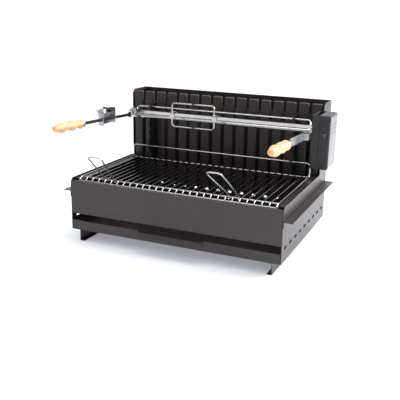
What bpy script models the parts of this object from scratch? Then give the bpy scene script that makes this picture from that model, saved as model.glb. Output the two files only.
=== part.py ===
"""Table-top charcoal barbecue with an upright slatted fireback and a motor-driven spit.

The firebox runs along X, the open front faces -Y and the runners stand on z = 0.
Lengths are in metres. The origin is the middle of the whole object's box, on the ground.
"""

from math import atan2, cos, pi, radians, sin, sqrt, tan

import bmesh
import bpy
from mathutils import Matrix, Quaternion, Vector

# ---------------------------------------------------------------- driving dimensions
WIDTH = 0.660               # over the two side panels
DEPTH = 0.472               # front edge to the rear panel's back
SIDE_HEIGHT = 0.160         # side panel, without the cheek
CHEEK_TOP = 0.382           # top of cheeks and fireback above the side panels' foot
COAL_BOX_DEPTH = 0.091      # slat faces to the rear panel's back
SHEET = 0.002               # panels
THIN_SHEET = 0.0015         # drawer, slats, motor casing
RUNNER_HEIGHT = 0.035
RUNNER_INSET = 0.025
RUNNER_FOOT = 0.015
LEDGE_HEIGHT = 0.121
LEDGE_WIDTH = 0.026
FRONT_LOW = 0.0517
FRONT_HIGH = 0.152
FIT = 0.0003                # gap between pieces that touch
SLIDE_FIT = 0.001           # gap between pieces that slide

GUIDE_WIDTH = 0.030
GUIDE_HIGH = 0.020
GRATE_RAIL_WIDTH = 0.022
GRID_REST_HIGH = 0.016
GRID_REST_LAP = 0.008       # how far the rests reach under the grid
VENTS = 9
VENT_PITCH = 0.0498
VENT_FIRST = 0.034
VENT_HEIGHT = 0.0396
VENT_LONG = 0.024
VENT_TALL = 0.008
REAR_VENT_LONG = 0.012
REAR_VENTS = 13
REAR_VENT_PITCH = 0.0434

SLATS = 16
SLAT_PITCH = 0.0409
SLAT_WIDTH = 0.0306
SLAT_DEEP = 0.009
SLAT_LOW = 0.072
SLAT_ROUNDING = 0.0035
SLAT_RAIL_LOW = 0.030       # rails that join the slats, from their ends
SLAT_RAIL_HIGH = 0.045
SLAT_RAIL_SINK = 0.001

COAL_GRATE_HEIGHT = 0.056
COAL_BARS = 17
COAL_BAR = 0.006
COAL_BAR_SINK = 0.0012
COAL_GRATE_FRONT = 0.012
COAL_GRATE_MARGIN = 0.020   # from the side panels to the first bar
COAL_CROSS_REACH = 0.006    # cross bars past the outer bars

GRID_HALF_WIDTH = 0.306
GRID_FRONT = 0.014
GRID_BACK = 0.345
GRID_HEIGHT = 0.1614
GRID_RAIL_RISE = 0.040
GRID_WIRES = 30
GRID_WIRE = 0.0017          # radii of the grid's wires
GRID_FRAME_WIRE = 0.0024
GRID_STEP_DOWN = 0.0068
GRID_STEP_LONG = 0.009
GRID_CROSS_FRONT = 0.020    # front cross wire, from the wires' front ends
GRID_BEND = 0.010
WELD_SINK = 0.0010          # how far welded wires sink into each other

BAIL_PLACES = (4.5, 23.0)    # in grid wires from the left
BAIL_FOOT = 0.030
BAIL_TOP = 0.045
BAIL_LENGTH = 0.135
BAIL_RISE = radians(42)
BAIL_KNEE = 0.020             # straight run of each leg before it leans
BAIL_LEANS = (0.008, -0.025)    # how far each top lies to the right of its feet
BAIL_WIRE = 0.0022
BAIL_PLAY = 0.0005
BAIL_BEND = 0.012

DRAWER_FRONT_HIGH = 0.030
DRAWER_TALL = 0.024
DRAWER_DEEP = 0.440
DRAWER_LAP = 0.004          # folded front of the drawer
PULL_WIDTH = 0.202
PULL_REACH = 0.020

SPIT_Y = 0.290
SPIT_Z = 0.325
SPIT_SIDE = 0.0095
SPIT_LEFT = -0.290
SPIT_SOCKET = 0.014         # how far the spit reaches into the gearbox
JOURNAL_PAST = 0.012        # round end of the spit past the bearing
COLLAR_RADIUS = SPIT_SIDE / 2 + 0.0035
HANGER_Y = 0.363
HANGER_Z = 0.331
HANGER_WIRE = 0.003
CROSS_Y = 0.335
CROSS_Z = 0.3035
CROSS_RADIUS = 0.006
HANGER_HALF = 0.297
BEARING_X = -0.278
BEARING_THICK = 0.004

ARM_X = 0.315
ARM_RISE = radians(2.5)
ARM_FRONT = 0.052           # where the wooden handles begin
ARM_THICK = 0.006
ARM_TALL = 0.009
STRAP_THICK = 0.003
STRAP_TALL = 0.022
GRIP_LENGTH = 0.146
GRIP_RADIUS = 0.0150
GRIP_NECK = 0.0095
NECK_LONG = 0.012
FERRULE_WALL = 0.0012
TANG_RADIUS = 0.0032
STRAP_SETBACK = 0.028       # where the right strap begins behind the handle
BOLT_HEAD = 0.0062

FORK_WIRE = 0.0024
FORK_RADIUS = 0.037
FORK_REACH = 0.060
FORK_BEND = 0.010
FORK_POINT = 0.010
FORK_SCREW = 0.0024
THUMB_RADIUS = 0.0058
FORK_HUBS = (-0.132, 0.012)
HUB_SIDE = 0.019
HUB_LONG = 0.014

REST_Y = 0.190
REST_LONG = 0.073
REST_TALL = 0.050
REST_WIDE = 0.018
REST_BELOW = 0.017          # below the arm's centre line
REST_SCREW = 0.0022

RACK_THICK = 0.003
RACK_LOW = 0.158
RACK_HIGH = HANGER_Z + 0.012
RACK_PLAY = 0.0008          # round the wires that hang in the racks
RACK_NOTCHES = 3
RACK_NOTCH_PITCH = 0.028

MOTOR_IN = 0.350            # inner face of the gearbox casing
MOTOR_WIDE = 0.031
MOTOR_FRONT = 0.240
MOTOR_BACK = 0.332
MOTOR_LOW = 0.212
MOTOR_HIGH = 0.368
BRACKET_IN = 0.330
CASE_PLATE = 0.002
CASE_WALL = 0.002
CASE_ROUNDING = 0.004
SIDE_PLATE = 0.001
SCREW_PROUD = 0.0016
SLEEVE_RADIUS = 0.0090      # output wheel's hollow shaft
SWITCH_WIDE = 0.009
SWITCH_TALL = 0.016
GLAND_RADIUS = 0.0042
MODULE = 0.00125
PINION_TEETH = 10
IDLER_TEETH = 32
OUTPUT_TEETH = 34
BACKLASH = 0.00035

# ---------------------------------------------------------------- sizes that follow
HALF = WIDTH / 2
INNER = HALF - SHEET
GRID_CROSS_Z = GRID_HEIGHT - GRID_WIRE - GRID_FRAME_WIRE + WELD_SINK
CROSS_HALF = ARM_X - ARM_THICK / 2 - FIT
CASE_BACK = MOTOR_IN + CASE_PLATE
SWITCH_X = MOTOR_IN + 0.018
SWITCH_Z = MOTOR_HIGH - 0.056
GLAND_X = MOTOR_IN + 0.017
GLAND_Y = MOTOR_BACK - 0.022
IDLER_Z = SPIT_Z - MODULE * (OUTPUT_TEETH + PINION_TEETH) / 2
ROTOR_Z = IDLER_Z - MODULE * (IDLER_TEETH + PINION_TEETH) / 2
SLAT_FRONT = DEPTH - COAL_BOX_DEPTH
RACK_X = 6 * SLAT_PITCH
OBJECT_LEFT = -(HALF + FIT + LEDGE_WIDTH)
OBJECT_RIGHT = MOTOR_IN + MOTOR_WIDE + FIT + SIDE_PLATE + FIT + SCREW_PROUD
OBJECT_FRONT = ARM_FRONT - GRIP_LENGTH * cos(ARM_RISE)
OBJECT_BACK = DEPTH
SHIFT = Vector((-(OBJECT_LEFT + OBJECT_RIGHT) / 2, -(OBJECT_FRONT + OBJECT_BACK) / 2, RUNNER_HEIGHT))

# ---------------------------------------------------------------- finishes
FINISHES = {
    "painted_steel": ((0.060, 0.050, 0.050), 0.50, 0.30),
    "black_steel": ((0.020, 0.020, 0.021), 0.55, 0.30),
    "chromed_wire": ((0.70, 0.70, 0.70), 0.18, 1.00),
    "bright_steel": ((0.55, 0.55, 0.55), 0.35, 1.00),
    "beech": ((0.78, 0.52, 0.27), 0.55, 0.00),
    "black_plastic": ((0.015, 0.015, 0.016), 0.45, 0.00),
    "grey_plastic": ((0.62, 0.63, 0.65), 0.45, 0.00),
    "white_plastic": ((0.75, 0.74, 0.70), 0.50, 0.00),
    "brass": ((0.60, 0.45, 0.16), 0.35, 1.00),
}


def clear_scene():
    for old in list(bpy.data.objects):
        bpy.data.objects.remove(old, do_unlink=True)


def new_collection(name):
    made = bpy.data.collections.new(name)
    bpy.context.scene.collection.children.link(made)
    return made


clear_scene()
PARTS = new_collection("rotisserie_spit_roaster")
CUTTERS = new_collection("cutters")
CUTTERS.hide_render = True


# ---------------------------------------------------------------- helpers
def finish_material(node, finish):
    colour, roughness, metallic = FINISHES[finish]
    made = bpy.data.materials.new(node + "_finish")
    made.use_nodes = True
    shader = made.node_tree.nodes["Principled BSDF"]
    shader.inputs["Base Color"].default_value = (*colour, 1.0)
    shader.inputs["Roughness"].default_value = roughness
    shader.inputs["Metallic"].default_value = metallic
    return made


def settle(obj, node, finish, smooth=None):
    """Names a finished piece, gives it its own material and puts it with the parts."""
    obj.name = node
    obj.data.name = node
    obj.data.materials.clear()
    obj.data.materials.append(finish_material(node, finish))
    if smooth is not None and obj.type == "MESH":
        obj.data.shade_smooth()
        obj.data.set_sharp_from_angle(angle=smooth)
    return obj


def link(obj, cutter=False):
    (CUTTERS if cutter else PARTS).objects.link(obj)
    if cutter:
        obj.hide_render = True
        obj.display_type = "WIRE"
    return obj


def mesh_object(bm, cutter=False):
    data = bpy.data.meshes.new("piece")
    bm.to_mesh(data)
    bm.free()
    return link(bpy.data.objects.new("piece", data), cutter)


def block(low, high, cutter=False):
    """A box between two corners."""
    low, high = Vector(low), Vector(high)
    bm = bmesh.new()
    bmesh.ops.create_cube(bm, size=1.0)
    bmesh.ops.scale(bm, vec=high - low, verts=bm.verts)
    bmesh.ops.translate(bm, vec=(low + high) / 2, verts=bm.verts)
    return mesh_object(bm, cutter)


def rod(start, end, radius, sides=16, radius_end=None, cutter=False):
    """A round bar or cone from start to end."""
    start, end = Vector(start), Vector(end)
    along = end - start
    bm = bmesh.new()
    bmesh.ops.create_cone(
        bm, cap_ends=True, segments=sides, radius1=radius,
        radius2=radius if radius_end is None else radius_end, depth=along.length,
    )
    turn = Vector((0, 0, 1)).rotation_difference(along.normalized()).to_matrix().to_4x4()
    bmesh.ops.transform(bm, matrix=Matrix.Translation((start + end) / 2) @ turn, verts=bm.verts)
    return mesh_object(bm, cutter)


PLANES = {
    "YZ": Matrix(((0, 0, 1, 0), (1, 0, 0, 0), (0, 1, 0, 0), (0, 0, 0, 1))),
    "XZ": Matrix(((1, 0, 0, 0), (0, 0, -1, 0), (0, 1, 0, 0), (0, 0, 0, 1))),
    "XY": Matrix.Identity(4),
}


def as_mesh(obj, cutter=False):
    """The evaluated object as one welded mesh; the source object is removed."""
    graph = bpy.context.evaluated_depsgraph_get()
    data = bpy.data.meshes.new_from_object(obj.evaluated_get(graph), depsgraph=graph)
    bm = bmesh.new()
    bm.from_mesh(data)
    bmesh.ops.remove_doubles(bm, verts=bm.verts, dist=1e-6)
    bmesh.ops.transform(bm, matrix=obj.matrix_world, verts=bm.verts)
    bmesh.ops.recalc_face_normals(bm, faces=bm.faces)
    bm.to_mesh(data)
    bm.free()
    bpy.data.objects.remove(obj, do_unlink=True)
    return link(bpy.data.objects.new("piece", data), cutter)


def flat_plate(outline, thickness, plane, level, holes=(), cutter=False):
    """A flat sheet cut to an outline, with its mid-plane at the given level."""
    data = bpy.data.curves.new("outline", "CURVE")
    data.dimensions = "2D"
    data.fill_mode = "BOTH"
    data.extrude = thickness / 2
    for loop in (outline, *holes):
        spline = data.splines.new("POLY")
        spline.points.add(len(loop) - 1)
        for point, (a, b) in zip(spline.points, loop):
            point.co = (a, b, 0, 1)
        spline.use_cyclic_u = True
    obj = link(bpy.data.objects.new("piece", data), cutter)
    shift = {"YZ": (level, 0, 0), "XZ": (0, level, 0), "XY": (0, 0, level)}[plane]
    obj.matrix_world = Matrix.Translation(shift) @ PLANES[plane]
    bpy.context.view_layer.update()
    return as_mesh(obj, cutter)


def folded_sheet(profile, thickness, plane, start, end, offset=1.0):
    """A strip folded to a profile in the plane and run from start to end across it."""
    bm = bmesh.new()
    turn = PLANES[plane]
    across = {"YZ": Vector((1, 0, 0)), "XZ": Vector((0, 1, 0)), "XY": Vector((0, 0, 1))}[plane]
    near = [bm.verts.new(turn @ Vector((a, b, 0)) + across * start) for a, b in profile]
    far = [bm.verts.new(turn @ Vector((a, b, 0)) + across * end) for a, b in profile]
    for i in range(len(profile) - 1):
        bm.faces.new((near[i], near[i + 1], far[i + 1], far[i]))
    obj = mesh_object(bm)
    wall = obj.modifiers.new("wall", "SOLIDIFY")
    wall.thickness = thickness
    wall.offset = offset
    wall.use_even_offset = True
    return as_mesh(obj)


def wire_curve(routes, radius, resolution=2, cutter=False):
    """Round wire along one or more routes of points."""
    data = bpy.data.curves.new("wire", "CURVE")
    data.dimensions = "3D"
    data.bevel_depth = radius
    data.bevel_resolution = resolution
    data.use_fill_caps = True
    for route in routes:
        spline = data.splines.new("POLY")
        spline.points.add(len(route) - 1)
        for point, place in zip(spline.points, route):
            point.co = (*place, 1)
    obj = link(bpy.data.objects.new("piece", data), cutter)
    bpy.context.view_layer.update()
    return as_mesh(obj, cutter)


def rounded(route, radius, steps=4):
    """The route with each inner corner turned into an arc of the radius."""
    points = [Vector(p) for p in route]
    out = [points[0]]
    for before, corner, after in zip(points, points[1:], points[2:]):
        back = (before - corner).normalized()
        ahead = (after - corner).normalized()
        half = back.angle(ahead) / 2
        trim = radius / tan(half)
        centre = corner + (back + ahead).normalized() * (radius / sin(half))
        first = corner + back * trim - centre
        last = corner + ahead * trim - centre
        hinge, sweep = first.cross(last), first.angle(last)
        for k in range(steps + 1):
            out.append(centre + Quaternion(hinge, sweep * k / steps) @ first)
    out.append(points[-1])
    return out


def arc(centre, radius, start, end, steps):
    """Points on an arc in a plane, as (a, b) pairs."""
    turns = [start + (end - start) * k / steps for k in range(steps + 1)]
    return [(centre[0] + radius * cos(t), centre[1] + radius * sin(t)) for t in turns]


def slot(centre, long, tall, steps=4):
    """An oblong hole's outline."""
    r = tall / 2
    reach = long / 2 - r
    right = arc((centre[0] + reach, centre[1]), r, -pi / 2, pi / 2, steps)
    left = arc((centre[0] - reach, centre[1]), r, pi / 2, 3 * pi / 2, steps)
    return right + left


def combine(base, tool, kind):
    """Joins or cuts base with tool and removes the tool."""
    step = base.modifiers.new(kind.lower(), "BOOLEAN")
    step.operation = kind
    step.object = tool
    step.solver = "EXACT"
    bpy.context.view_layer.update()
    graph = bpy.context.evaluated_depsgraph_get()
    data = bpy.data.meshes.new_from_object(base.evaluated_get(graph), depsgraph=graph)
    base.modifiers.clear()
    base.data = data
    bpy.data.objects.remove(tool, do_unlink=True)
    return base


def joined(base, *tools):
    for tool in tools:
        base = combine(base, tool, "UNION")
    return base


def cut(base, *tools):
    for tool in tools:
        base = combine(base, tool, "DIFFERENCE")
    return base


def softened(obj, width, segments=2, limit=radians(40)):
    """Rounds the sharp edges of a piece."""
    edge = obj.modifiers.new("edges", "BEVEL")
    edge.width = width
    edge.segments = segments
    edge.limit_method = "ANGLE"
    edge.angle_limit = limit
    return as_mesh(obj)


def turned(profile, axis_point, direction, steps=20):
    """A turned piece: (along, radius) pairs spun about the direction from the axis point."""
    bm = bmesh.new()
    points = [bm.verts.new((r, 0, -a)) for a, r in profile]
    for a, b in zip(points, points[1:]):
        bm.edges.new((a, b))
    obj = mesh_object(bm)
    spin = obj.modifiers.new("spin", "SCREW")
    spin.axis = "Z"
    spin.angle = 2 * pi
    spin.steps = steps
    spin.render_steps = steps
    spin.use_merge_vertices = True
    spin.merge_threshold = 1e-6
    turn = Vector((0, 0, -1)).rotation_difference(Vector(direction).normalized())
    obj.matrix_world = Matrix.Translation(axis_point) @ turn.to_matrix().to_4x4()
    bpy.context.view_layer.update()
    return as_mesh(obj)


def moved_to_axis(obj, point):
    """Puts the piece's origin on its joint's axis without moving the piece."""
    obj.data.transform(Matrix.Translation(-Vector(point)))
    obj.location = Vector(point)
    return obj


# ---------------------------------------------------------------- firebox
def side_panels():
    chamfer = 0.012
    nose = 0.010
    outline = [
        (0, 0), (DEPTH, 0), (DEPTH, CHEEK_TOP), (SLAT_FRONT + chamfer, CHEEK_TOP),
        (SLAT_FRONT, CHEEK_TOP - chamfer), (SLAT_FRONT, SIDE_HEIGHT),
        (nose, SIDE_HEIGHT), (0, SIDE_HEIGHT - nose),
    ]
    vents = [slot((VENT_FIRST + i * VENT_PITCH, VENT_HEIGHT), VENT_LONG, VENT_TALL) for i in range(VENTS)]
    for side, name in ((-1, "left_side_panel"), (1, "right_side_panel")):
        plate = flat_plate(outline, SHEET, "YZ", side * (HALF - SHEET / 2), vents)
        settle(plate, name, "painted_steel")


def front_panel():
    flange = 0.011
    hem = 0.009
    profile = [(hem, FRONT_LOW), (0, FRONT_LOW), (0, FRONT_HIGH), (flange, FRONT_HIGH)]
    reach = INNER - FIT
    plate = folded_sheet(profile, SHEET, "YZ", -reach, reach, offset=1.0)
    settle(plate, "front_panel", "painted_steel")


def rear_panel():
    reach = INNER - FIT
    outline = [(-reach, 0), (reach, 0), (reach, CHEEK_TOP), (-reach, CHEEK_TOP)]
    first = -(REAR_VENTS - 1) / 2 * REAR_VENT_PITCH
    places = [first + i * REAR_VENT_PITCH for i in range(REAR_VENTS)]
    vents = [slot((x, VENT_HEIGHT), REAR_VENT_LONG, VENT_TALL) for x in places]
    plate = flat_plate(outline, SHEET, "XZ", DEPTH - SHEET / 2, vents)
    settle(plate, "rear_panel", "painted_steel")


def ledges():
    for side, name in ((-1, "left_ledge"), (1, "right_ledge")):
        inner = side * (HALF + FIT)
        outer = side * (HALF + FIT + LEDGE_WIDTH)
        web = 0.018
        profile = [(inner, LEDGE_HEIGHT - web), (inner, LEDGE_HEIGHT), (outer, LEDGE_HEIGHT)]
        sheet = folded_sheet(profile, SHEET, "XZ", 0, DEPTH, offset=-side)
        settle(sheet, name, "painted_steel")


def drawer_guides():
    for side, name in ((-1, "left_drawer_guide"), (1, "right_drawer_guide")):
        wall = side * (INNER - FIT)
        inward = side * (INNER - FIT - GUIDE_WIDTH)
        profile = [(wall, GUIDE_HIGH), (wall, 0.0), (inward, 0.0)]
        sheet = folded_sheet(profile, THIN_SHEET, "XZ", 0.006, DEPTH - SHEET - SLIDE_FIT, offset=-side)
        settle(sheet, name, "painted_steel")


def runners():
    for side, name in ((-1, "left_runner"), (1, "right_runner")):
        web = side * (HALF - RUNNER_INSET)
        inward = side * (HALF - RUNNER_INSET - RUNNER_FOOT)
        low, high = -RUNNER_HEIGHT, -FIT
        profile = [(inward, high), (web, high), (web, low), (inward, low)]
        sheet = folded_sheet(profile, SHEET, "XZ", 0.004, DEPTH, offset=-side)
        settle(sheet, name, "painted_steel")


def coal_grate():
    back = SLAT_FRONT + 0.060
    bars = []
    span = INNER - COAL_GRATE_MARGIN
    for i in range(COAL_BARS):
        x = -span + 2 * span * i / (COAL_BARS - 1)
        bars.append([(x, COAL_GRATE_FRONT, COAL_GRATE_HEIGHT), (x, back, COAL_GRATE_HEIGHT)])
    long_bars = wire_curve(bars, COAL_BAR / 2, resolution=1)
    low = COAL_GRATE_HEIGHT - COAL_BAR + COAL_BAR_SINK
    reach = span + COAL_CROSS_REACH
    from_ends = 0.024
    places = (COAL_GRATE_FRONT + from_ends, (COAL_GRATE_FRONT + back) / 2, back - from_ends)
    cross = [[(-reach, y, low), (reach, y, low)] for y in places]
    settle(joined(long_bars, wire_curve(cross, COAL_BAR / 2, resolution=1)), "charcoal_grate", "black_steel")
    return low - COAL_BAR / 2


def grate_rails(rest_level):
    for side, name in ((-1, "left_grate_rail"), (1, "right_grate_rail")):
        wall = side * (INNER - FIT)
        inward = side * (INNER - FIT - GRATE_RAIL_WIDTH)
        top = rest_level - FIT
        profile = [(wall, top - 0.006), (wall, top), (inward, top)]
        sheet = folded_sheet(profile, THIN_SHEET, "XZ", 0.020, DEPTH - SHEET - SLIDE_FIT, offset=side)
        settle(sheet, name, "painted_steel")


def grid_rests():
    """Angle rails on the side panels that carry the edges of the cooking grid."""
    for side, name in ((-1, "left_grid_rest"), (1, "right_grid_rest")):
        wall = side * (INNER - FIT)
        inward = side * (GRID_HALF_WIDTH - GRID_REST_LAP)
        top = GRID_CROSS_Z - GRID_FRAME_WIRE - FIT
        profile = [(wall, top - GRID_REST_HIGH), (wall, top), (inward, top)]
        sheet = folded_sheet(profile, THIN_SHEET, "XZ", 0.022, SLAT_FRONT - SLIDE_FIT, offset=side)
        settle(sheet, name, "painted_steel")


def slat_wall():
    """Sixteen folded slats welded to two cross rails: one welded piece."""
    back = SLAT_FRONT + SLAT_DEEP
    top = CHEEK_TOP - 0.003
    first = -(SLATS - 1) / 2 * SLAT_PITCH
    bm = bmesh.new()
    for i in range(SLATS):
        x = first + i * SLAT_PITCH
        made = bmesh.ops.create_cube(bm, size=1.0)["verts"]
        bmesh.ops.scale(bm, vec=(SLAT_WIDTH, SLAT_DEEP, top - SLAT_LOW), verts=made)
        bmesh.ops.translate(bm, vec=(x, (SLAT_FRONT + back) / 2, (top + SLAT_LOW) / 2), verts=made)
    open_faces = [f for f in bm.faces if f.normal.y > 0.5 or f.normal.z < -0.5]
    bmesh.ops.delete(bm, geom=open_faces, context="FACES")
    crown = [
        e for e in bm.edges
        if all(v.co.z > top - 0.001 for v in e.verts) and not e.is_boundary
        or (not e.is_boundary and abs(e.verts[0].co.z - e.verts[1].co.z) > 0.1)
    ]
    bmesh.ops.bevel(bm, geom=crown, offset=SLAT_ROUNDING, segments=2, affect="EDGES", profile=0.5)
    slats = mesh_object(bm)
    wall = slats.modifiers.new("wall", "SOLIDIFY")
    wall.thickness = THIN_SHEET
    wall.offset = -1.0
    wall.use_even_offset = True
    slats = as_mesh(slats)
    reach = INNER - FIT
    rail_half = 0.010
    for height in (SLAT_LOW + SLAT_RAIL_LOW, top - SLAT_RAIL_HIGH):
        rail = block((-reach, back - SLAT_RAIL_SINK, height - rail_half),
                     (reach, back + SHEET, height + rail_half))
        slats = joined(slats, rail)
    settle(slats, "slat_wall", "black_steel")
    return back


def racks(rail_front):
    """Notched hanger plates that stand in the gaps between slats."""
    rear = rail_front - SLAT_RAIL_SINK - FIT
    hold = HANGER_WIRE + RACK_PLAY
    face_c = CROSS_Y + CROSS_RADIUS + FIT
    low_face = GRID_BACK - 0.009
    notch = GRID_FRAME_WIRE + RACK_PLAY
    step_high = CROSS_Z - 0.0185
    outline = [(rear, RACK_LOW), (rear, RACK_HIGH), (HANGER_Y + hold, RACK_HIGH)]
    outline += arc((HANGER_Y, HANGER_Z), hold, 0, -pi, 6)
    outline += [(HANGER_Y - hold, RACK_HIGH - 0.003), (HANGER_Y - hold - 0.004, RACK_HIGH)]
    outline += [(face_c + 0.004, RACK_HIGH), (face_c, RACK_HIGH - 0.006), (face_c, step_high)]
    outline += [(low_face, step_high - 0.008)]
    for i in reversed(range(RACK_NOTCHES)):
        z = GRID_HEIGHT + GRID_RAIL_RISE + i * RACK_NOTCH_PITCH
        reach = (GRID_BACK - low_face)
        outline += [(low_face, z + reach + notch * sqrt(2))]
        outline += arc((GRID_BACK, z), notch, radians(45), radians(-135), 6)
        outline += [(low_face, z + reach - notch * sqrt(2))]
    tooth = GRID_HEIGHT + GRID_RAIL_RISE - 0.008
    foot_face = GRID_BACK + GRID_FRAME_WIRE + 0.003
    outline += [(low_face, tooth), (foot_face, tooth - 0.012), (foot_face, RACK_LOW)]
    for side, name in ((-1, "left_rack"), (1, "right_rack")):
        plate = flat_plate(outline, RACK_THICK, "YZ", side * RACK_X)
        settle(plate, name, "black_steel")


# ---------------------------------------------------------------- ash drawer
def ash_drawer():
    half = INNER - FIT - THIN_SHEET - SLIDE_FIT
    front_half = INNER - SLIDE_FIT
    floor = THIN_SHEET + FIT
    front_low = 0.0005
    pan = block((-half, DRAWER_LAP, floor), (half, DRAWER_DEEP, floor + DRAWER_TALL))
    hollow = block((-half + THIN_SHEET, DRAWER_LAP + THIN_SHEET, floor + THIN_SHEET),
                   (half - THIN_SHEET, DRAWER_DEEP - THIN_SHEET, DRAWER_FRONT_HIGH))
    pan = cut(pan, hollow)
    front = block((-front_half, 0.0, front_low), (front_half, DRAWER_LAP + 0.0005, DRAWER_FRONT_HIGH))
    dip = block((-PULL_WIDTH / 2, -DRAWER_LAP, DRAWER_FRONT_HIGH - 0.004),
                (PULL_WIDTH / 2, 2 * DRAWER_LAP, 2 * DRAWER_FRONT_HIGH))
    moved_to_axis(settle(cut(joined(pan, front), dip), "ash_drawer", "painted_steel"), (0, 0, 0))

    lip = [(-FIT, 0.010), (-FIT, DRAWER_FRONT_HIGH - 0.001), (-PULL_REACH, DRAWER_FRONT_HIGH + 0.003),
           (-PULL_REACH - 0.003, DRAWER_FRONT_HIGH - 0.014)]
    pull = folded_sheet(lip, THIN_SHEET, "YZ", -PULL_WIDTH / 2, PULL_WIDTH / 2, offset=-1.0)
    corner = 0.012
    for side in (-1, 1):
        edge = side * PULL_WIDTH / 2
        outline = [(edge - side * corner, -PULL_REACH - 0.01), (edge + side * 0.01, -PULL_REACH - 0.01),
                   (edge + side * 0.01, -PULL_REACH + 0.02), (edge, -PULL_REACH + 0.010)]
        pull = cut(pull, flat_plate(outline, 0.1, "XY", 0.0, cutter=True))
    settle(pull, "drawer_pull", "painted_steel")

    head = turned([(0, 0), (0, 0.0022), (0.0010, 0.0040), (0.0020, 0.0040), (0.0020, 0)],
                  (0, -FIT - THIN_SHEET - FIT - 0.0020, 0.017), (0, 1, 0), 12)
    settle(head, "pull_rivet", "bright_steel", radians(40))


# ---------------------------------------------------------------- cooking grid
def cooking_grid():
    """Round wires welded on cross wires, with the outer wire raised as a rail at the back."""
    step = 2 * GRID_HALF_WIDTH / (GRID_WIRES - 1)
    low = GRID_HEIGHT - GRID_STEP_DOWN
    rail_z = GRID_HEIGHT + GRID_RAIL_RISE
    edge = GRID_HALF_WIDTH
    stepped = GRID_FRONT + GRID_STEP_LONG
    route = [
        (-edge, GRID_FRONT, low), (-edge, stepped, GRID_HEIGHT), (-edge, GRID_BACK, GRID_HEIGHT),
        (-edge, GRID_BACK, rail_z), (edge, GRID_BACK, rail_z), (edge, GRID_BACK, GRID_HEIGHT),
        (edge, stepped, GRID_HEIGHT), (edge, GRID_FRONT, low),
    ]
    frame = wire_curve([rounded(route, GRID_BEND, 3)], GRID_FRAME_WIRE)

    bars = []
    for i in range(1, GRID_WIRES - 1):
        x = -edge + i * step
        bars.append([(x, GRID_FRONT, low), (x, stepped, GRID_HEIGHT), (x, GRID_BACK, GRID_HEIGHT)])
    wires = wire_curve(bars, GRID_WIRE, resolution=1)

    reach = edge + WELD_SINK
    under = GRID_CROSS_Z - GRID_HEIGHT
    places = ((GRID_FRONT + WELD_SINK, low + under), (GRID_FRONT + GRID_CROSS_FRONT, GRID_CROSS_Z),
              (GRID_BACK - 2 * WELD_SINK, GRID_CROSS_Z))
    rails = wire_curve([[(-reach, y, z), (reach, y, z)] for y, z in places], GRID_FRAME_WIRE)
    grid = joined(frame, joined(wires, rails))
    settle(grid, "cooking_grid", "chromed_wire", radians(50))
    moved_to_axis(grid, (0, GRID_BACK, rail_z))
    return GRID_FRONT + GRID_CROSS_FRONT, GRID_CROSS_Z, step


def bail_hook(pivot, side):
    """The hook at one foot of a bail, from its tip to where the leg leaves it."""
    curl = GRID_FRAME_WIRE + BAIL_WIRE + BAIL_PLAY
    tip_turn = radians(-150)
    leave_turn = pi / 2 - BAIL_RISE
    steps = 7
    turns = [tip_turn + (leave_turn - tip_turn) * k / steps for k in range(steps + 1)]
    return [pivot + Vector((side * BAIL_FOOT / 2, curl * cos(t), curl * sin(t))) for t in turns]


def grid_bails(pivot_y, pivot_z, wire_step):
    """Two wire handles that hook round the grid's front cross wire."""
    ahead = Vector((0, -cos(BAIL_RISE), sin(BAIL_RISE)))
    names = ("left_grid_handle", "right_grid_handle")
    for name, place, lean in zip(names, BAIL_PLACES, BAIL_LEANS):
        pivot = Vector((-GRID_HALF_WIDTH + place * wire_step, pivot_y, pivot_z))
        left, right = bail_hook(pivot, -1), bail_hook(pivot, 1)
        top_left = pivot + ahead * BAIL_LENGTH + Vector((lean - BAIL_TOP / 2, 0, 0))
        top_right = pivot + ahead * BAIL_LENGTH + Vector((lean + BAIL_TOP / 2, 0, 0))
        knees = [pivot + ahead * BAIL_KNEE + Vector((side * BAIL_FOOT / 2, 0, 0)) for side in (-1, 1)]
        corners = [left[-1], knees[0], top_left, top_right, knees[1], right[-1]]
        bend = rounded(corners, BAIL_BEND, 5)
        route = left[:-1] + bend + right[-2::-1]
        bail = wire_curve([route], BAIL_WIRE)
        settle(bail, name, "chromed_wire", radians(50))
        moved_to_axis(bail, pivot)


# ---------------------------------------------------------------- spit cradle
def arm_height(y):
    """Height of the arms' centre line, which rises towards the handles."""
    return CROSS_Z + (CROSS_Y - y) * tan(ARM_RISE)


def cradle_frame():
    tube = rod((-CROSS_HALF, CROSS_Y, CROSS_Z), (CROSS_HALF, CROSS_Y, CROSS_Z), CROSS_RADIUS, 12)
    route = [(-HANGER_HALF, CROSS_Y + 0.001, CROSS_Z + 0.002), (-HANGER_HALF, HANGER_Y, HANGER_Z),
             (HANGER_HALF, HANGER_Y, HANGER_Z), (HANGER_HALF, CROSS_Y + 0.001, CROSS_Z + 0.002)]
    rail = wire_curve([rounded(route, 0.012, 4)], HANGER_WIRE)
    frame = joined(tube, rail)
    settle(frame, "cradle_frame", "chromed_wire", radians(50))
    moved_to_axis(frame, (0, HANGER_Y, HANGER_Z))


def arm_outline(tall, front, back):
    """The side view of an arm with a rounded back end over the cross tube."""
    up = tall / 2
    ring = max(up, CROSS_RADIUS + 0.004)
    lead = Vector((cos(ARM_RISE), -sin(ARM_RISE)))
    side = Vector((sin(ARM_RISE), cos(ARM_RISE)))
    tip = Vector((front, arm_height(front)))
    hub = Vector((back, arm_height(back)))
    near = hub - lead * (ring + 0.004)
    out = [tip - side * up, near - side * up]
    centre_turn = atan2(-sin(ARM_RISE), cos(ARM_RISE))
    out += [Vector(p) for p in arc(hub, ring, centre_turn - pi * 0.66, centre_turn + pi * 0.66, 10)]
    out += [near + side * up, tip + side * up]
    return [tuple(p) for p in out]


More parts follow.
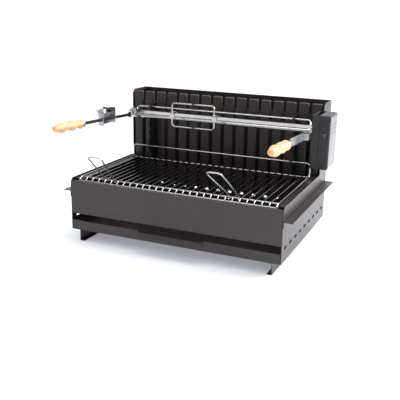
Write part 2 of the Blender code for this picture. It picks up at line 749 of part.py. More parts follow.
def arms():
    left = flat_plate(arm_outline(ARM_TALL, ARM_FRONT + FIT, CROSS_Y), ARM_THICK, "YZ", -ARM_X)
    settle(left, "left_arm", "black_steel")
    strap_x = CROSS_HALF + FIT + STRAP_THICK / 2
    strap = arm_outline(STRAP_TALL, ARM_FRONT + STRAP_SETBACK, CROSS_Y)
    right = flat_plate(strap, STRAP_THICK, "YZ", strap_x)
    tang_back = ARM_FRONT + STRAP_SETBACK + 0.012
    tang = rod((strap_x, ARM_FRONT + FIT, arm_height(ARM_FRONT)),
               (strap_x, tang_back, arm_height(tang_back)), TANG_RADIUS, 10)
    settle(joined(right, tang), "right_arm", "bright_steel")
    for side, name, thick in ((-1, "left_arm_bolt", ARM_THICK), (1, "right_arm_bolt", STRAP_THICK)):
        seat = side * (CROSS_HALF + FIT + thick + FIT)
        dome = [(0, 0), (0, BOLT_HEAD), (0.0020, 0.94 * BOLT_HEAD), (0.0036, 0.56 * BOLT_HEAD), (0.0036, 0)]
        head = turned(dome, (seat, CROSS_Y, CROSS_Z), (side, 0, 0), 12)
        settle(head, name, "bright_steel", radians(40))


def grip_profile(rings=16):
    """(along, radius) pairs of a handle with a neck, three swells and a round end."""
    swells = 2.6
    first_swell = 0.15
    depth = 0.14
    end_share = 0.14
    start = NECK_LONG + 0.0025
    profile = [(0, 0), (0, GRIP_NECK), (NECK_LONG, GRIP_NECK)]
    for k in range(rings + 1):
        t = k / rings
        swell = GRIP_RADIUS * (1 - depth + depth * cos(2 * pi * (swells * t + first_swell)))
        close = min(1.0, (1 - t) / end_share)
        round_end = sqrt(max(0.0, 1 - (1 - close) ** 2))
        profile.append((start + (GRIP_LENGTH - start) * t, swell * round_end))
    return profile


def grips():
    """Turned beech handles, each with a steel ferrule round its neck."""
    ahead = Vector((0, -cos(ARM_RISE), sin(ARM_RISE)))
    strap_x = CROSS_HALF + FIT + STRAP_THICK / 2
    inner = GRIP_NECK + FIT
    outer = inner + FERRULE_WALL
    first, last = 0.0005, NECK_LONG - 0.0005
    ring = [(first, inner), (first, outer), (last, outer), (last, inner), (first, inner)]
    for name, x in (("left", -ARM_X), ("right", strap_x)):
        foot = Vector((x, ARM_FRONT, arm_height(ARM_FRONT)))
        settle(turned(grip_profile(), foot, ahead, 18), name + "_grip", "beech", radians(50))
        settle(turned(ring, foot, ahead, 18), name + "_ferrule", "bright_steel", radians(40))


def spit_bearing():
    """A plate on the cross tube that carries the spit's left end in an open slot."""
    clear = SPIT_SIDE / 2 + FIT
    wall = 0.005
    hub = (CROSS_Y, CROSS_Z)
    cup = (SPIT_Y, SPIT_Z)
    outline = bearing_outline(hub, cup, CROSS_RADIUS + wall, clear, wall)
    hole = arc(hub, CROSS_RADIUS + FIT, 0, 2 * pi * 15 / 16, 15)
    plate = flat_plate(outline, BEARING_THICK, "YZ", BEARING_X, [hole])
    settle(plate, "spit_bearing", "bright_steel")


def bearing_outline(hub, cup, ring, clear, wall):
    """The bearing plate's edge, from the cup's front lip round the hub to its rear lip."""
    outer = clear + wall
    y, z = cup
    top = z + clear + 0.006
    out = [(y - clear, top), (y - outer, top)]
    out += arc(cup, outer, pi, pi + radians(70), 4)
    out += arc(hub, ring, pi + radians(60), 2 * pi + radians(75), 12)
    out += [(y + outer, z + 0.002), (y + outer, top), (y + clear, top)]
    out += arc(cup, clear, 0, -pi, 8)
    return out


# ---------------------------------------------------------------- spit and forks
def spit():
    half = SPIT_SIDE / 2
    round_to = BEARING_X + JOURNAL_PAST
    end = MOTOR_IN + SPIT_SOCKET
    bar = block((round_to, SPIT_Y - half, SPIT_Z - half), (end, SPIT_Y + half, SPIT_Z + half))
    journal = rod((SPIT_LEFT, SPIT_Y, SPIT_Z), (round_to + 0.001, SPIT_Y, SPIT_Z), half, 16)
    collar = rod((round_to - 0.003, SPIT_Y, SPIT_Z), (round_to + 0.0005, SPIT_Y, SPIT_Z), COLLAR_RADIUS, 16)
    bar = joined(bar, journal, collar)
    settle(bar, "spit_rod", "chromed_wire", radians(50))
    moved_to_axis(bar, (0, SPIT_Y, SPIT_Z))


def forks():
    half = SPIT_SIDE / 2 + FIT
    beside = half + FORK_WIRE + 0.0006
    for name, hub_x, face in (("left", FORK_HUBS[0], 1), ("right", FORK_HUBS[1], -1)):
        y = SPIT_Y - beside
        tip = hub_x + face * FORK_REACH
        route = [(tip, y, SPIT_Z + FORK_RADIUS), (hub_x, y, SPIT_Z + FORK_RADIUS),
                 (hub_x, y, SPIT_Z - FORK_RADIUS), (tip, y, SPIT_Z - FORK_RADIUS)]
        prongs = wire_curve([rounded(route, FORK_BEND, 4)], FORK_WIRE)
        points = []
        for side in (-1, 1):
            z = SPIT_Z + side * FORK_RADIUS
            points.append(rod((tip - face * 0.003, y, z), (tip + face * FORK_POINT, y, z),
                              FORK_WIRE * 1.04, 10, FORK_WIRE / 4))
        hub = block((hub_x - HUB_LONG / 2, SPIT_Y - HUB_SIDE / 2, SPIT_Z - HUB_SIDE / 2),
                    (hub_x + HUB_LONG / 2, SPIT_Y + HUB_SIDE / 2, SPIT_Z + HUB_SIDE / 2))
        through = block((hub_x - HUB_LONG, SPIT_Y - half, SPIT_Z - half),
                        (hub_x + HUB_LONG, SPIT_Y + half, SPIT_Z + half), cutter=True)
        bore = rod((hub_x, SPIT_Y, SPIT_Z), (hub_x, SPIT_Y + HUB_SIDE, SPIT_Z),
                   FORK_SCREW + 0.0004, 12, cutter=True)
        fork = cut(joined(hub, prongs, *points), through, bore)
        settle(fork, name + "_fork", "chromed_wire", radians(50))
        moved_to_axis(fork, (hub_x, SPIT_Y, SPIT_Z))

        start = Vector((hub_x, SPIT_Y + half + FIT, SPIT_Z))
        shank = rod(start, start + Vector((0, 0.013, 0)), FORK_SCREW, 12)
        rim = THUMB_RADIUS - 0.0013
        head = turned([(0.008, 0), (0.008, rim), (0.0095, THUMB_RADIUS), (0.0135, THUMB_RADIUS), (0.015, rim),
                       (0.015, 0)], start, (0, 1, 0), 12)
        screw = joined(shank, head)
        settle(screw, name + "_fork_screw", "bright_steel", radians(40))
        moved_to_axis(screw, start)


# ---------------------------------------------------------------- sliding spit rest
def arm_cutter(clear):
    up = ARM_TALL / 2 + clear
    front, back = ARM_FRONT - 0.02, CROSS_Y + 0.02
    outline = [(front, arm_height(front) - up), (back, arm_height(back) - up),
               (back, arm_height(back) + up), (front, arm_height(front) + up)]
    return flat_plate(outline, ARM_THICK + 2 * clear, "YZ", -ARM_X, cutter=True)


def spit_rest():
    front = REST_Y - REST_LONG / 2
    back = REST_Y + REST_LONG / 2
    web_x = -ARM_X - REST_WIDE / 2 - 0.001
    open_x = -ARM_X + REST_WIDE / 2
    low = arm_height(REST_Y) - REST_BELOW
    high = low + REST_TALL
    profile = [(open_x, front), (web_x, front), (web_x, back), (open_x, back)]
    bracket = folded_sheet(profile, THIN_SHEET, "XY", low, high, offset=1.0)
    notch_r = SPIT_SIDE / 2 + 0.00175
    cup = [(REST_Y - notch_r, high + 0.01)] + arc((REST_Y, high - 0.010), notch_r, pi, 2 * pi, 8)
    cup += [(REST_Y + notch_r, high + 0.01)]
    notch = flat_plate(cup, 0.01, "YZ", web_x, cutter=True)
    screw_z = high - 0.009
    bore = rod((-ARM_X, front - 0.01, screw_z), (-ARM_X, front + 0.01, screw_z),
               REST_SCREW + 0.0004, 12, cutter=True)
    bracket = cut(bracket, arm_cutter(SLIDE_FIT / 2), notch, bore)
    settle(bracket, "rest_bracket", "bright_steel")

    shank = rod((-ARM_X, front - 0.010, screw_z), (-ARM_X, front + 0.014, screw_z), REST_SCREW, 12)
    nut = rod((-ARM_X, front - 0.009, screw_z), (-ARM_X, front - FIT, screw_z), 0.0050, 12)
    half_wing = [(0.004, -0.004), (0.0145, 0.006), (0.0115, 0.010), (0.003, 0.003)]
    outline = [(-ARM_X + a, screw_z + b) for a, b in half_wing]
    outline += [(-ARM_X - a, screw_z + b) for a, b in reversed(half_wing)]
    wings = flat_plate(outline, 0.0022, "XZ", front - 0.0055)
    settle(joined(nut, shank, wings), "wing_screw", "bright_steel", radians(40))
    moved_to_axis(bpy.data.objects["wing_screw"], (-ARM_X, front, screw_z))

    pin_y = back - 0.014
    pin_z = high - 0.010
    inside = web_x + THIN_SHEET + FIT
    blade = [(pin_y + 0.005, pin_z - 0.005), (pin_y + 0.005, pin_z + 0.007), (pin_y - 0.034, pin_z + 0.017),
             (pin_y - 0.036, pin_z + 0.011), (pin_y - 0.008, pin_z + 0.004), (pin_y - 0.006, pin_z - 0.005)]
    plate = flat_plate(blade, 0.002, "YZ", inside + 0.001)
    stud = rod((inside + 0.001, pin_y, pin_z), (inside + 0.012, pin_y, pin_z), 0.0045, 12)
    keeper = joined(plate, stud)
    settle(keeper, "rest_keeper", "black_steel", radians(40))
    moved_to_axis(keeper, (inside, pin_y, pin_z))


# ---------------------------------------------------------------- spit motor
def gear_outline(teeth, centre, phase):
    """A spur gear's edge; phase is the angle of one tooth's middle."""
    pitch_r = MODULE * teeth / 2
    tip = pitch_r + 0.80 * MODULE
    root = pitch_r - 1.15 * MODULE
    half = pi * MODULE / 4 - BACKLASH / 2
    out = []
    for k in range(teeth):
        middle = phase + 2 * pi * k / teeth
        for radius, sign in ((root, -1), (tip, -1), (tip, 1), (root, 1)):
            width = half - (radius - pitch_r) * tan(radians(20))
            turn = middle + sign * width / radius
            out.append((centre[0] + radius * cos(turn), centre[1] + radius * sin(turn)))
    return out


def motor_bracket():
    profile = [(MOTOR_IN - FIT, MOTOR_FRONT), (BRACKET_IN, MOTOR_FRONT), (BRACKET_IN, MOTOR_BACK),
               (MOTOR_IN - FIT, MOTOR_BACK)]
    channel = folded_sheet(profile, THIN_SHEET, "XY", MOTOR_LOW, MOTOR_HIGH, offset=1.0)
    hole = rod((BRACKET_IN - 0.01, SPIT_Y, SPIT_Z), (BRACKET_IN + 0.01, SPIT_Y, SPIT_Z),
               SLEEVE_RADIUS + SLIDE_FIT, 16, cutter=True)
    settle(cut(channel, hole), "motor_bracket", "black_steel")

    strap_out = CROSS_HALF + FIT + STRAP_THICK
    run = 0.212
    stay_thick = 0.0025
    seat = BRACKET_IN - FIT - stay_thick
    profile = [(strap_out + FIT, run - 0.030), (strap_out + FIT, run), (seat, run), (seat, run + 0.060)]
    z = arm_height(run)
    stay = folded_sheet(profile, stay_thick, "XY", z - 0.009, z + 0.009, offset=1.0)
    settle(stay, "motor_stay", "bright_steel")


def motor_case():
    back_plate = block((MOTOR_IN, MOTOR_FRONT, MOTOR_LOW), (CASE_BACK, MOTOR_BACK, MOTOR_HIGH))
    hole = rod((MOTOR_IN - 0.01, SPIT_Y, SPIT_Z), (CASE_BACK + 0.01, SPIT_Y, SPIT_Z),
               SLEEVE_RADIUS + SLIDE_FIT, 16, cutter=True)
    settle(cut(back_plate, hole), "gearcase_plate", "black_plastic")

    low = (CASE_BACK - 2 * CASE_ROUNDING, MOTOR_FRONT, MOTOR_LOW)
    high = (MOTOR_IN + MOTOR_WIDE, MOTOR_BACK, MOTOR_HIGH)
    shell = softened(block(low, high), CASE_ROUNDING, 2)
    rim = block((CASE_BACK - 0.02, MOTOR_FRONT - 0.01, MOTOR_LOW - 0.01),
                (CASE_BACK + FIT, MOTOR_BACK + 0.01, MOTOR_HIGH + 0.01), cutter=True)
    inside = block((CASE_BACK - 0.02, MOTOR_FRONT + CASE_WALL, MOTOR_LOW + CASE_WALL),
                   (MOTOR_IN + MOTOR_WIDE - CASE_WALL, MOTOR_BACK - CASE_WALL, MOTOR_HIGH - CASE_WALL),
                   cutter=True)
    room_x, room_z = SWITCH_WIDE / 2 + SLIDE_FIT, SWITCH_TALL / 2 + 0.0015
    window = block((SWITCH_X - room_x, MOTOR_FRONT - 0.01, SWITCH_Z - room_z),
                   (SWITCH_X + room_x, MOTOR_FRONT + 0.01, SWITCH_Z + room_z), cutter=True)
    gland_hole = rod((GLAND_X, GLAND_Y, MOTOR_LOW - 0.01), (GLAND_X, GLAND_Y, MOTOR_LOW + 0.01),
                     GLAND_RADIUS + FIT, 12, cutter=True)
    settle(cut(shell, rim, inside, window, gland_hole), "motor_cover", "black_plastic", radians(50))

    edge = CASE_ROUNDING
    face_x = MOTOR_IN + MOTOR_WIDE + FIT + SIDE_PLATE / 2
    outline = [(MOTOR_FRONT + edge, MOTOR_LOW + edge), (MOTOR_BACK - edge, MOTOR_LOW + edge),
               (MOTOR_BACK - edge, MOTOR_HIGH - edge), (MOTOR_FRONT + edge, MOTOR_HIGH - edge)]
    vents = []
    for row in range(3):
        for column in range(5):
            centre = (MOTOR_FRONT + 0.022 + column * 0.012, MOTOR_HIGH - 0.028 - row * 0.012)
            vents.append(arc(centre, 0.0022, 0, 2 * pi * 7 / 8, 7))
    settle(flat_plate(outline, SIDE_PLATE, "YZ", face_x, vents), "motor_side_plate", "grey_plastic")

    seat = face_x + SIDE_PLATE / 2 + FIT
    inset = 0.010
    corners = [(y, z) for y in (MOTOR_FRONT + inset, MOTOR_BACK - inset)
               for z in (MOTOR_LOW + inset, MOTOR_HIGH - inset)]
    for number, (y, z) in enumerate(corners, 1):
        head = turned([(0, 0), (0, 0.0035), (0.0009, 0.0033), (SCREW_PROUD, 0.0018), (SCREW_PROUD, 0)],
                      (seat, y, z), (1, 0, 0), 12)
        settle(head, f"cover_screw_{number}", "bright_steel", radians(40))


def motor_works():
    """Synchronous motor, compound idler and output wheel inside the casing."""
    pin_r = 0.0020
    out_x = CASE_BACK + 0.0050
    wheel_x = out_x + 0.0075
    can = rod((CASE_BACK + FIT, SPIT_Y, ROTOR_Z), (out_x + 0.0028, SPIT_Y, ROTOR_Z), 0.0185, 20)
    well = rod((CASE_BACK + 0.0025, SPIT_Y, ROTOR_Z), (out_x + 0.02, SPIT_Y, ROTOR_Z),
               pin_r + SLIDE_FIT, 12, cutter=True)
    settle(cut(can, well), "motor_can", "bright_steel", radians(40))

    bore_clear = 0.00035
    spindle = rod((CASE_BACK + FIT, SPIT_Y, IDLER_Z), (wheel_x + 0.0075, SPIT_Y, IDLER_Z), pin_r, 12)
    settle(spindle, "idler_spindle", "bright_steel", radians(40))

    output = flat_plate(gear_outline(OUTPUT_TEETH, (SPIT_Y, SPIT_Z), -pi / 2), 0.005, "YZ", out_x + 0.0025)
    sleeve = rod((BRACKET_IN + 0.004, SPIT_Y, SPIT_Z), (out_x + 0.006, SPIT_Y, SPIT_Z), SLEEVE_RADIUS, 16)
    half = SPIT_SIDE / 2 + FIT
    socket = block((BRACKET_IN - 0.01, SPIT_Y - half, SPIT_Z - half),
                   (MOTOR_IN + SPIT_SOCKET + 0.0005, SPIT_Y + half, SPIT_Z + half), cutter=True)
    gear = cut(joined(output, sleeve), socket)
    settle(gear, "output_gear", "white_plastic", radians(40))
    moved_to_axis(gear, (out_x, SPIT_Y, SPIT_Z))

    small_phase = pi / 2 + pi / PINION_TEETH
    small_edge = gear_outline(PINION_TEETH, (SPIT_Y, IDLER_Z), small_phase)
    small = flat_plate(small_edge, 0.0060, "YZ", out_x + 0.0030)
    wheel = flat_plate(gear_outline(IDLER_TEETH, (SPIT_Y, IDLER_Z), -pi / 2), 0.0040, "YZ", wheel_x + 0.0005)
    bore = rod((CASE_BACK - 0.01, SPIT_Y, IDLER_Z), (wheel_x + 0.02, SPIT_Y, IDLER_Z), pin_r + bore_clear, 12,
               cutter=True)
    idler = cut(joined(wheel, small), bore)
    settle(idler, "idler_gear", "white_plastic", radians(40))
    moved_to_axis(idler, (wheel_x, SPIT_Y, IDLER_Z))

    pinion_edge = gear_outline(PINION_TEETH, (SPIT_Y, ROTOR_Z), small_phase)
    pinion = flat_plate(pinion_edge, 0.0052, "YZ", wheel_x + 0.0008)
    shaft = rod((CASE_BACK + 0.003, SPIT_Y, ROTOR_Z), (wheel_x + 0.0060, SPIT_Y, ROTOR_Z), pin_r, 12)
    settle(joined(pinion, shaft), "rotor_pinion", "brass", radians(40))
    moved_to_axis(bpy.data.objects["rotor_pinion"], (wheel_x, SPIT_Y, ROTOR_Z))


def motor_controls():
    rocker = block((SWITCH_X - SWITCH_WIDE / 2, MOTOR_FRONT - 0.0012, SWITCH_Z - SWITCH_TALL / 2),
                   (SWITCH_X + SWITCH_WIDE / 2, MOTOR_FRONT + 0.0045, SWITCH_Z + SWITCH_TALL / 2))
    rocker = softened(rocker, 0.0008, 2)
    settle(rocker, "switch_rocker", "white_plastic", radians(50))
    moved_to_axis(rocker, (SWITCH_X, MOTOR_FRONT + 0.002, SWITCH_Z))

    bore = 0.0020
    flange = GLAND_RADIUS + 0.0020
    inside, tip = -0.0035, 0.010
    profile = [(inside, GLAND_RADIUS), (FIT, GLAND_RADIUS), (FIT, flange), (tip, bore + 0.0012), (tip, bore),
               (inside, bore), (inside, GLAND_RADIUS)]
    gland = turned(profile, (GLAND_X, GLAND_Y, MOTOR_LOW), (0, 0, -1), 14)
    settle(gland, "cable_gland", "black_plastic", radians(40))


# ---------------------------------------------------------------- assembly
def place_on_ground():
    """Moves the finished model so that its box stands centred on the origin."""
    for piece in PARTS.objects:
        piece.location += SHIFT


side_panels()
front_panel()
rear_panel()
ledges()
drawer_guides()
runners()
grate_rails(coal_grate())
grid_rests()
racks(slat_wall())
ash_drawer()
grid_bails(*cooking_grid())
cradle_frame()
arms()
grips()
spit_bearing()
spit()
forks()
spit_rest()
motor_bracket()
motor_case()
motor_works()
motor_controls()
place_on_ground()
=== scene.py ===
"""Looks of a table-top charcoal roaster with a motor-driven spit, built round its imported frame.

Lengths are in metres. +X runs along the spit to the motor, +Y to the rear panel, +Z up.
"""

from math import atan2, cos, pi, radians, sin, sqrt, tan

import bmesh
import bpy
from bpy.props import FloatProperty, FloatVectorProperty, IntProperty, PointerProperty
from mathutils import Matrix, Quaternion, Vector


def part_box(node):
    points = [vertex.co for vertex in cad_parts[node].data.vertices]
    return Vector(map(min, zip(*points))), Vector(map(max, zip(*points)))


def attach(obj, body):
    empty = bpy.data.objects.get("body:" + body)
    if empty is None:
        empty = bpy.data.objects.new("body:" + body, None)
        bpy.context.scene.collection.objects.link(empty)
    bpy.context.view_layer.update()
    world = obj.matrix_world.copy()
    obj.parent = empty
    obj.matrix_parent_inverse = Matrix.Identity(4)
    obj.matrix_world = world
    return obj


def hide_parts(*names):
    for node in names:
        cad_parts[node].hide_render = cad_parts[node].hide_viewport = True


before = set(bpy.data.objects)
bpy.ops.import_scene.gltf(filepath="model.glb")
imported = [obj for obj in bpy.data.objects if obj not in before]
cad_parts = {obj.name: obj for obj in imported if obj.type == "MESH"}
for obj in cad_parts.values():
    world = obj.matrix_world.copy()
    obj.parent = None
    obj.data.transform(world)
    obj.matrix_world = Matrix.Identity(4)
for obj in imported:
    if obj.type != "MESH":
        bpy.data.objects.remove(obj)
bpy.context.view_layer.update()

CREASE = radians(35)          # sharper edges than this stay edges in the shading
SLAT_COUNT = 16
SLAT_PITCH = 0.0409
SLAT_WIDTH = 0.0306
SLAT_DEEP = 0.009
SLAT_SHEET = 0.0015
GRID_WIRES = 30
GRID_THIN = 0.0017            # radius of the wires that run front to back
GRID_THICK = 0.0024           # radius of the frame and cross wires
GRID_LONG = 0.345 - 0.014
GRID_RAIL_HIGH = 0.040        # from the wires up to the raised back rail
GRID_BEND = 0.010
GRID_STEP_DOWN = 0.0068
GRID_STEP_LONG = 0.009
GRID_CROSS_FRONT = 0.020      # from the grid's front to the cross wire that the handles hook round
GRID_SINK = 0.0010            # how far a weld draws two wires together
BAIL_PLACES = {"left": 4.5, "right": 23.0}
BAIL_LEANS = {"left": 0.008, "right": -0.025}
SPIT_SIDE = 0.0095
SPIT_PLAY = 0.0003
HANDLE_RISE = radians(2.5)
KNURL_STEPS = 72
FLOOR_HALF = 6.0
LIGHT_AIM = Vector((0, 0, 0.2))
LIGHTS = (                    # name, place, width, watts
    ("key_light", (-1.2, -2.4, 2.4), 1.2, 14.0),
    ("side_light", (1.9, 1.4, 1.5), 1.6, 80.0),
    ("top_light", (0.2, 0.2, 2.6), 1.8, 30.0),
)

bl_info = {
    "name": "Charcoal spit roaster",
    "version": (1, 0, 0),
    "blender": (4, 5, 0),
    "location": "3D View > Sidebar > Roaster",
    "description": "Makes the shown pieces, finishes and studio of a charcoal spit roaster",
    "category": "Object",
}


# ---------------------------------------------------------------- settings
def colour_setting(name, description, default):
    return FloatVectorProperty(name=name, description=description, default=default, subtype="COLOR",
                               size=3, min=0.0, max=1.0)


def length_setting(name, description, default):
    return FloatProperty(name=name, description=description, default=default, unit="LENGTH", min=0.0)


class RoasterFinishes(bpy.types.PropertyGroup):
    """Colours of the roaster's finishes, in linear light."""

    firebox: colour_setting("Firebox paint", "Brown-grey baked paint of the firebox", (0.017, 0.0095, 0.0098))
    slats: colour_setting("Slat paint", "Heat-resistant paint of the fireback", (0.022, 0.016, 0.0155))
    black: colour_setting("Black paint", "Paint of the racks, the left arm and the bracket",
                          (0.010, 0.010, 0.010))
    chrome: colour_setting("Chrome", "Plated wire and rods", (0.50, 0.49, 0.49))
    zinc: colour_setting("Zinc", "Zinc-plated straps and screws", (0.52, 0.52, 0.53))
    beech: colour_setting("Beech", "Light bands of the turned handles", (0.80, 0.55, 0.31))
    beech_dark: colour_setting("Beech grain", "Dark bands of the turned handles", (0.56, 0.31, 0.12))
    plastic: colour_setting("Black plastic", "Motor casing", (0.010, 0.011, 0.012))
    plate: colour_setting("Side plate", "Light plate on the motor casing", (0.16, 0.16, 0.175))
    switch: colour_setting("Switch", "Rocker of the motor's switch", (0.055, 0.060, 0.065))
    nylon: colour_setting("Nylon", "Gears and switch", (0.80, 0.79, 0.75))
    brass: colour_setting("Brass", "Rotor pinion", (0.62, 0.45, 0.16))


class RoasterSizes(bpy.types.PropertyGroup):
    """Sizes of the fine detail that the frame leaves out."""

    edge: length_setting("Sheet edge", "Rounding of sheet-metal edges", 0.0006)
    fold: length_setting("Fold", "Outer radius of folded corners", 0.0020)
    weld: length_setting("Weld", "Radius of a weld bead on the grid", 0.0022)
    wire_sides: IntProperty(name="Wire sides", description="Resolution of round wires", default=5, min=2,
                            max=12)
    lathe_steps: IntProperty(name="Lathe steps", description="Steps round a turned piece", default=56, min=12)


class RoasterStudio(bpy.types.PropertyGroup):
    """Camera and light of the studio."""

    yaw: FloatProperty(name="Yaw", description="Camera's turn about the vertical", default=radians(23.4435),
                       subtype="ANGLE")
    pitch: FloatProperty(name="Pitch", description="Camera's downward tilt", default=radians(16.7414),
                         subtype="ANGLE")
    roll: FloatProperty(name="Roll", description="Camera's roll", default=radians(1.1091), subtype="ANGLE")
    lens: FloatProperty(name="Lens", description="Focal length", default=58.58, unit="CAMERA")
    place: FloatVectorProperty(name="Camera place", description="Where the camera stands",
                               default=(0.75645, -1.75350, 0.69690), subtype="TRANSLATION")
    backdrop: FloatProperty(name="Backdrop light", description="Light of the room behind the roaster",
                            default=1.1)
    front_light: FloatProperty(name="Front light", description="Light of the room in front", default=0.30)
    glow: FloatProperty(name="Floor glow", description="How much the white floor shines", default=0.30)


# ---------------------------------------------------------------- shape helpers
def studio():
    return bpy.context.scene.roaster_studio


def sizes():
    return bpy.context.scene.roaster_sizes


def colours():
    return bpy.context.scene.roaster_finishes


def cad(node):
    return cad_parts[node]


def box(node):
    """A frame node's lowest and highest corners."""
    low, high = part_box(node)
    return Vector(low), Vector(high)


def link(obj):
    bpy.context.scene.collection.objects.link(obj)
    return obj


def object_from(bm, name):
    data = bpy.data.meshes.new(name)
    bm.to_mesh(data)
    bm.free()
    return link(bpy.data.objects.new(name, data))


def show(obj, body, finish, *nodes):
    """Gives a piece its finish and its body, and hides the frame nodes that it stands for."""
    obj.data.materials.clear()
    obj.data.materials.append(FINISHES[finish]())
    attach(obj, body)
    if nodes:
        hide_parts(*nodes)
    return obj


def smooth(obj, angle=CREASE):
    obj.data.shade_smooth()
    obj.data.set_sharp_from_angle(angle=angle)
    return obj


def even_shading(obj):
    """Keeps flat faces flat in the shading beside their rounded edges."""
    normals = obj.modifiers.new("even_shading", "WEIGHTED_NORMAL")
    normals.weight = 100
    normals.keep_sharp = True
    return obj


def eased_copy(node, width, segments=2, limit=CREASE):
    """A copy of a frame node's sheet with rounded edges."""
    bm = bmesh.new()
    bm.from_mesh(cad(node).data)
    bmesh.ops.remove_doubles(bm, verts=bm.verts, dist=2e-6)
    bmesh.ops.dissolve_limit(bm, angle_limit=radians(1), verts=bm.verts, edges=bm.edges)
    sharp = [e for e in bm.edges if len(e.link_faces) == 2 and e.calc_face_angle() > limit]
    bmesh.ops.bevel(bm, geom=sharp, offset=width, segments=segments, profile=0.5, affect="EDGES",
                    clamp_overlap=True)
    made = object_from(bm, node + "_sheet")
    made.matrix_world = cad(node).matrix_world
    made.data.shade_smooth()
    return even_shading(made)


def wire(name, routes, radius, cyclic=False):
    """Round wire along routes of points."""
    data = bpy.data.curves.new(name, "CURVE")
    data.dimensions = "3D"
    data.bevel_depth = radius
    data.bevel_resolution = sizes().wire_sides
    data.use_fill_caps = True
    for route in routes:
        spline = data.splines.new("POLY")
        spline.points.add(len(route) - 1)
        for point, place in zip(spline.points, route):
            point.co = (*place, 1)
        spline.use_cyclic_u = cyclic
    return link(bpy.data.objects.new(name, data))


def meshed(obj):
    """The evaluated object as a mesh object of the same name."""
    graph = bpy.context.evaluated_depsgraph_get()
    data = bpy.data.meshes.new_from_object(obj.evaluated_get(graph), depsgraph=graph)
    name, place = obj.name, obj.matrix_world.copy()
    bpy.data.objects.remove(obj, do_unlink=True)
    bm = bmesh.new()
    bm.from_mesh(data)
    bmesh.ops.remove_doubles(bm, verts=bm.verts, dist=1e-6)
    bmesh.ops.transform(bm, matrix=place, verts=bm.verts)
    bm.to_mesh(data)
    bm.free()
    return smooth(link(bpy.data.objects.new(name, data)))


def merged(name, *objects):
    """Several mesh objects as one."""
    bm = bmesh.new()
    for obj in objects:
        bm.from_mesh(obj.data)
        bpy.data.objects.remove(obj, do_unlink=True)
    return smooth(object_from(bm, name))


def rounded(route, radius, steps=8):
    """The route with each inner corner turned into an arc."""
    points = [Vector(p) for p in route]
    out = [points[0]]
    for before, corner, after in zip(points, points[1:], points[2:]):
        back = (before - corner).normalized()
        ahead = (after - corner).normalized()
        half = back.angle(ahead) / 2
        trim = radius / tan(half)
        centre = corner + (back + ahead).normalized() * (radius / sin(half))
        first = corner + back * trim - centre
        last = corner + ahead * trim - centre
        hinge, sweep = first.cross(last), first.angle(last)
        for k in range(steps + 1):
            out.append(centre + Quaternion(hinge, sweep * k / steps) @ first)
    out.append(points[-1])
    return out


def turned(name, profile, foot, direction, steps=None):
    """(along, radius) pairs spun about a direction from the foot."""
    steps = steps or sizes().lathe_steps
    turn = Vector((0, 0, 1)).rotation_difference(Vector(direction).normalized()).to_matrix()
    foot = Vector(foot)
    bm = bmesh.new()
    rings = []
    for along, radius in profile:
        if radius < 1e-7:
            rings.append([bm.verts.new(foot + turn @ Vector((0, 0, along)))])
            continue
        rings.append([bm.verts.new(foot + turn @ Vector((radius * cos(t), radius * sin(t), along)))
                      for t in (2 * pi * k / steps for k in range(steps))])
    for low, high in zip(rings, rings[1:]):
        for k in range(steps):
            n = (k + 1) % steps
            corners = [low[k % len(low)], low[n % len(low)], high[n % len(high)], high[k % len(high)]]
            unique = list(dict.fromkeys(corners))
            if len(unique) > 2:
                bm.faces.new(unique)
    bmesh.ops.recalc_face_normals(bm, faces=bm.faces)
    return smooth(object_from(bm, name))


def bead(bm, place, radius, squash=(1, 1, 1)):
    """One weld bead in an open mesh."""
    made = bmesh.ops.create_uvsphere(bm, u_segments=8, v_segments=6, radius=radius)["verts"]
    bmesh.ops.scale(bm, vec=squash, verts=made)
    bmesh.ops.translate(bm, vec=place, verts=made)


